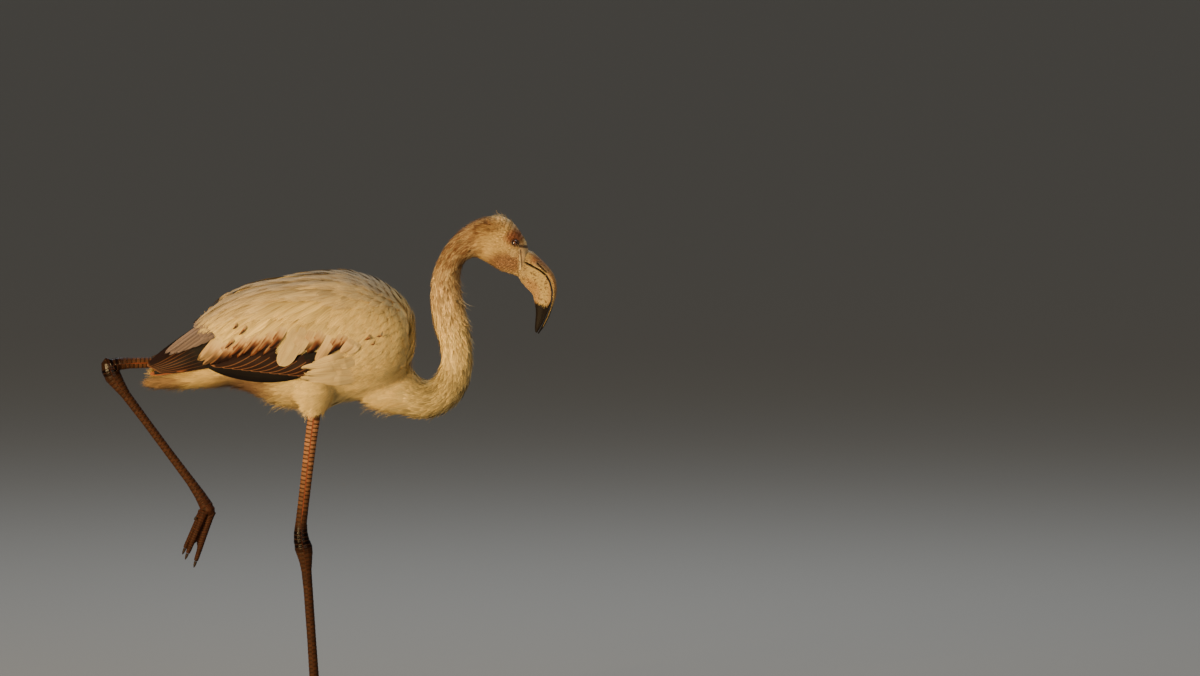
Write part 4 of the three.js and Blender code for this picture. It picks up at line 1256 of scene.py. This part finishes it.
# ---- Bill --------------------------------------------------------------------------------------
# Two horn sheaths, bent down in the middle: tan and buff, with fine dark specks, a slit of a
# nostril in a grey hollow, and a glossy black tip whose edge is ragged.
BILL_GRAIN = 0.75 * MM
BILL_ROOT, BILL_WAY = np.array([0.3015, 0, 0.688]), unit(np.array([-1.0, 0, 0.27]))
BILL_REACH = 9 * MM  # how far the root is drawn back under the hide
MOUTH_LINE = MM * np.array([[298.5, 687.6], [310, 681.8], [321.5, 675.6], [331, 668], [337.2, 657.5],
                            [340.3, 643.5], [339.6, 630.8], [336.2, 618.8], [330.6, 604.5],
                            [324.2, 591.8], [317.8, 580.6]])
BLACK_FROM = 6.9  # the place on the mouth line, in its knots
NOSTRIL = MM * np.array([[318.5, 686], [331.5, 673]])
BILL_TAN, BILL_BUFF, BILL_RUST = linear(164, 124, 80), linear(181, 153, 94), linear(138, 94, 64)
BILL_BLACK, BILL_GREY = linear(26, 18, 15), linear(104, 92, 78)


def bill_finish():
    """Horn: the stored colours with dark specks in clusters and growth lines, glossy on the
    black, whose edge runs out in ragged fingers."""
    material, start, shader = surface("bill_horn", 0.42, Coat_Roughness=0.3, Specular_IOR_Level=0.12)
    tint = kept(start, "tint")
    along_mouth = kept(start, "along", AS_VECTOR)
    place = in_object(start)
    specks = noise(start, place, 380.0, 2.0, 0.6)
    clusters = noise(start, place, 120.0, 2.0)
    fibres = noise(start, along_mouth, 1.0, 3.0, 0.6)
    edge = (kept(start, "black", AS_NUMBER) + (fibres - 0.5) * 1.5).step(0.42, 0.58)
    speckled = specks.step(0.52, 0.60) * clusters.step(0.36, 0.56, 0.35, 1.0)
    horn = (speckled * 0.8).mix(tint, (0.09, 0.045, 0.022, 1))
    horn = (fibres.step(0.45, 0.75) * 0.25).mix(horn, (0.72, 0.50, 0.26, 1))
    feed(shader, edge.mix(horn, (0.008, 0.005, 0.004, 1)), "Base Color")
    feed(shader, edge.step(0, 1, 0.42, 0.6), "Roughness")
    bumped(shader, fibres + specks * 0.6, 0.45, 0.5 * MM)
    return material


bill_material = bill_finish()
for half, up in (("upper", True), ("lower", False)):
    nodes = ("bill_" + half, "bill_" + half + "_tip")
    points, faces = melted(nodes, BILL_GRAIN, 3)
    # The root is drawn back and laid on the hide, where the markings run on over it.
    ahead = (BILL_ROOT - points) @ BILL_WAY
    points = points + BILL_WAY * BILL_REACH * smooth(ahead, 7 * MM, 0)[:, None]
    ahead = (BILL_ROOT - points) @ BILL_WAY
    foot, facing, _ = hide_under(points)
    height = ((points - foot) * facing).sum(1)
    onto = smooth(ahead, 3 * MM, -7 * MM) * smooth(height, -1.5 * MM, -0.5 * MM)
    points = points - facing * ((height + 0.3 * MM) * onto)[:, None]
    # Distances in mm from the mouth line and the nostril, and out from the middle.
    knot, share, _, off = nearest_on(points[:, ::2], MOUTH_LINE)
    passed, off = knot + share, off / MM
    slit = nearest_on(points[:, ::2], NOSTRIL)[3] / MM
    out = np.abs(points[:, 1]) / MM
    if up:
        groove = smooth(slit, 1.8, 0.5) * smooth(out, 2, 5)
        ridge = smooth(off, 2.0, 3.2) * smooth(off, 5.0, 3.6) * smooth(out, 2, 5)
        points[:, 1] -= np.sign(points[:, 1]) * (1.5 * groove + 0.35 * ridge) * MM
        colour = washed(
            np.repeat(BILL_TAN[None], len(points), 0),
            (BILL_RUST, 0.85 * smooth(off, 4.5, 8) * smooth(passed, 3.4, 1.6)),
            (BILL_BUFF, 0.6 * smooth(off, 14, 18)),
            (BILL_GREY, 0.85 * smooth(slit, 5.5, 2) * smooth(out, 1, 5)),
            (BILL_BUFF, 0.8 * smooth(off, 4.2, 3.0)),
            (BILL_BLACK, groove))
    else:
        colour = washed(
            np.repeat(BILL_BUFF[None], len(points), 0),
            (BILL_RUST, 0.6 * smooth(off, 14, 22)),
            (BILL_RUST, 0.45 * smooth(off, 9, 3) * smooth(passed, 3, 5)))
    # Near the root each half takes the face's colours. The dark band along the mouth line is painted shadow
    # of the gap between the halves.
    colour = washed(
        colour,
        (BARE_FACE * (0.62, 0.62, 0.5), smooth(ahead, 11 * MM, 0)),
        (markings(points, facing), smooth(points[:, 0], 0.292, 0.287)),
        (BILL_BLACK, smooth(off, 2.0, 1.2) * smooth(passed, 0.0, 0.25)))
    along_edge = smooth(off, 5, 1) * smooth(passed, 4.5, 6)
    black = (passed - BLACK_FROM) / 1.4 + 0.5 + (0.35 if up else 0.45) * along_edge
    if up:
        # A pale line stays along the edge of the upper half, short of the tip.
        black = black - 3 * smooth(off, 1.6, 2.0) * smooth(off, 3.4, 2.8) * smooth(passed, 9.6, 8.6)
    mesh = placed("bill_" + half + "_sheath", points, faces, bill_material, nodes)
    paint(mesh, colour)
    stored(mesh, "black", black)
    stored(mesh, "along", np.stack([passed * 2.2, off * 2.2, out * 0.8], 1))

# ---- Legs and feet -----------------------------------------------------------------------------
# Long bare legs in horny scutes: two rows of plates down each side of a seam, a dark wet
# ankle, and small plates and pads on the toes. Webs join the three front toes.
LEG_RIGHT = MM * np.array(
    [[-16, -42, 455], [-20, -40, 427], [-26, -37, 377], [-32, -32, 327], [-35.4, -30, 299],
     [-34.4, -28, 272], [-30.3, -26.3, 251], [-27.8, -24, 225], [-25.2, -22, 194],
     [-20.5, -15, 120], [-16, -5.5, 45], [-13.6, -1.4, 12]])
LEG_LEFT = MM * np.array(
    [[-151, 55.5, 535], [-200, 52, 534], [-262, 46, 533], [-295, 43, 532.5], [-316, 42, 530.5],
     [-325, 42, 527], [-319, 41.8, 511], [-301, 41, 485.5], [-273, 40, 448], [-236, 38, 398],
     [-203, 36, 354], [-179, 35, 316]])
ANKLE_RIGHT, ANKLE_LEFT = 182, 174  # mm along each leg
LEG_GRAIN = 1.15 * MM
LEG_PITCH, TOE_PITCH = 6.4, 3.6  # mm from plate to plate
PLATE_RELIEF = 0.22 * MM
SHANK_TAN, TARSUS_BROWN, ANKLE_DARK = linear(152, 106, 74), linear(60, 36, 23), linear(12, 7, 5)
FOOT_RED = linear(58, 30, 19)


def along_leg(points, line):
    """For points near a bent leg: mm along it, the way from its middle line, and its length."""
    nearest, share, away, off = nearest_on(points, line)
    span = np.linalg.norm(np.diff(line, axis=0), axis=1)
    start = np.concatenate([[0], np.cumsum(span)])
    return (start[nearest] + share * span[nearest]) / MM, away, off


def scute_finish():
    """Plates from the stored place on the leg: grooves between rows, a seam at either side where
    the front and the back row meet half a plate out of step, and worn, dusty faces."""
    material, start, shader = surface("leg_scutes", 0.55, Specular_IOR_Level=0.1)
    tint = kept(start, "tint")
    row, seam, wet = parts_of(kept(start, "plate", AS_VECTOR))
    place = in_object(start)
    wobble = noise(start, place, 260.0, 2.0) - 0.5
    grain = noise(start, place, 1400.0, 3.0, 0.6)
    tone = start.node("TexNoise", {"noise_dimensions": "1D"}, {"W": row.math("FLOOR") * 7.31, "Scale": 1.0})
    cell = (row + wobble * 0.16).math("FRACT")
    line = (cell - 0.5).math("ABSOLUTE").step(0.26, 0.42)
    side_line = (seam.math("ABSOLUTE") + wobble * 0.1).step(0.16, 0.05)
    groove = line.math("MAXIMUM", side_line)
    plate = (tone.step(0.35, 0.65) * 0.4).mix(tint, (0.20, 0.10, 0.055, 1), "MULTIPLY")
    plate = (grain.step(0.45, 0.75) * (1 - wet) * 0.15).mix(plate, (0.30, 0.20, 0.13, 1))
    dark = (groove * 0.85).mix(plate, (0.025, 0.011, 0.006, 1))
    feed(shader, (side_line * 0.45).mix(dark, (0.30, 0.06, 0.03, 1)), "Base Color")
    feed(shader, (wet + grain * 0.15).step(0.0, 1.0, 0.6, 0.24), "Roughness")
    bumped(shader, (1 - groove) + grain * 0.25, 0.6, 0.6 * MM)
    return material


scute_material = scute_finish()
for side, line, ankle_at in (("right", LEG_RIGHT, ANKLE_RIGHT), ("left", LEG_LEFT, ANKLE_LEFT)):
    names = ["shank_" + side, "tarsus_" + side, "foot_" + side]
    points, faces = melted(names, LEG_GRAIN, 2)
    # The top of the leg is drawn 8 mm up into the thigh's plumes.
    s, _, _ = along_leg(points, line)
    points = points + unit(line[0] - line[1]) * 8 * MM * smooth(s, 14, 2)[:, None]
    normals = normals_of(points, faces)
    s, away, off = along_leg(points, line)
    length = np.linalg.norm(np.diff(line, axis=0), axis=1).sum() / MM
    beyond = np.linalg.norm(points - line[-1], axis=1) / MM
    toe = (smooth(beyond, 9, 15) * (s > length - 12)) > 0.5
    # Front is 1 ahead of the middle line and -1 behind it; above it where the shank lies level.
    lifted = (side == "left") & (s < ANKLE_LEFT)
    front = np.where(lifted, away[:, 2], away[:, 0]) / np.maximum(off, 1e-6)
    front = np.where(toe, 0.9, front)
    row = np.where(toe, beyond / TOE_PITCH, s / LEG_PITCH) + 0.5 * (front < 0)
    front = front + (np.sign(front) - front) * smooth(s, ankle_at - 40, ankle_at)
    ankle = smooth(np.abs(s - ankle_at), 26, 8)
    colour = washed(
        np.repeat(SHANK_TAN[None], len(points), 0),
        (TARSUS_BROWN, smooth(s, ankle_at - 150, ankle_at - 10)),
        (ANKLE_DARK, 0.95 * ankle),
        (FOOT_RED, 0.8 * smooth(s, length - 40, length)))
    colour = colour * (1 + 0.10 * grain_at(points, 12 * MM, 5))[:, None]
    # Plates stand up between sunk grooves, less on the ankle and the webs. The sole stays flat.
    wave = np.cos(2 * np.pi * (row - np.floor(row) - 0.5))
    sunk = (smooth(wave, -1.0, -0.2) - 1) * (1 - 0.6 * ankle) * (0.35 + 0.65 * smooth(off, 2 * MM, 5 * MM))
    sunk = np.where(points[:, 2] < 0.6 * MM, 0, sunk)
    points = points + normals * (PLATE_RELIEF * sunk)[:, None]
    points[:, 2] = np.maximum(points[:, 2], 0)
    mesh = placed("leg_" + side, points, faces, scute_material, names)
    paint(mesh, colour)
    stored(mesh, "plate", np.stack([row, front, ankle], 1))

# ---- Claws -------------------------------------------------------------------------------------
# A short claw of black horn at the end of each of the eight toes, all with the same look and
# so made as one piece.
CLAWS = [f"claw_{toe}_{side}" for toe in ("hind", "inner", "middle", "outer") for side in ("left", "right")]
CLAW_GRAIN = 0.45 * MM
claw_material, start, shader = surface("claw_horn", 0.6, Specular_IOR_Level=0.2)
fibres = noise(start, in_object(start), 700.0, 3.0)
feed(shader, fibres.mix((0.010, 0.006, 0.004, 1), (0.035, 0.018, 0.011, 1)), "Base Color")
bumped(shader, fibres, 0.4, 0.3 * MM)
points, faces = melted(CLAWS, CLAW_GRAIN, 2)
points[:, 2] = np.maximum(points[:, 2], 0)
placed("claws", points, faces, claw_material, CLAWS)

# ---- Floor, light and camera --------------------------------------------------------------
# The bird stands on a wide pale floor. A large soft lamp low on its right and behind the
# viewer lights the flank, and a wide one overhead and the room fill the shade.
FLOOR_HALF = 60.0
floor_corners = FLOOR_HALF * np.array([[-1, -1, 0], [1, -1, 0], [1, 1, 0], [-1, 1, 0]])
floor_material, start, shader = surface("floor_paint", 0.85)
shader.inputs["Base Color"].default_value = (0.30, 0.30, 0.29, 1)
floor = bpy.data.objects.new("floor", mesh_from("floor", floor_corners, np.array([[0, 1, 2, 3]])))
bpy.context.scene.collection.objects.link(floor)
floor.data.materials.append(floor_material)


def lamp(name, place, aim, size, watts, colour):
    """A square soft lamp at place that shines at aim."""
    light = bpy.data.lights.new(name, "AREA")
    light.size, light.energy, light.color = size, watts, colour
    made = bpy.data.objects.new(name, light)
    made.location = place
    made.rotation_euler = (Vector(aim) - Vector(place)).to_track_quat("-Z", "Y").to_euler()
    bpy.context.scene.collection.objects.link(made)


lamp("key_lamp", (-3.15, -3.9, 0.68), (0.05, 0, 0.5), 1.3, 475, (1.0, 0.71, 0.335))
lamp("front_lamp", (1.4, -4.8, 0.9), (0.1, 0, 0.5), 2.5, 72, (1.0, 0.84, 0.62))
lamp("back_lamp", (0.4, 1.8, 3.6), (0, 0, 0.5), 3.0, 92, (0.82, 0.90, 1.0))
world = bpy.data.worlds.new("room")
world.use_nodes = True
world.node_tree.nodes["Background"].inputs["Color"].default_value = (0.72, 0.68, 0.62, 1)
world.node_tree.nodes["Background"].inputs["Strength"].default_value = 0.24
bpy.context.scene.world = world

VIEW_TILT = np.radians(4)
VIEW_CENTRE = np.array([0.4117, 0.0, 0.5732])
VIEW_WIDTH, VIEW_DISTANCE = 1.797, 15.0
camera = bpy.data.objects.new("camera", bpy.data.cameras.new("camera"))
camera.data.sensor_width = 36.0
camera.data.lens = 36.0 * VIEW_DISTANCE / VIEW_WIDTH
camera.data.clip_end = 200.0
camera.location = VIEW_CENTRE + VIEW_DISTANCE * np.array([0, -np.cos(VIEW_TILT), np.sin(VIEW_TILT)])
camera.rotation_euler = (np.pi / 2 - VIEW_TILT, 0, 0)
bpy.context.scene.collection.objects.link(camera)
bpy.context.scene.camera = camera
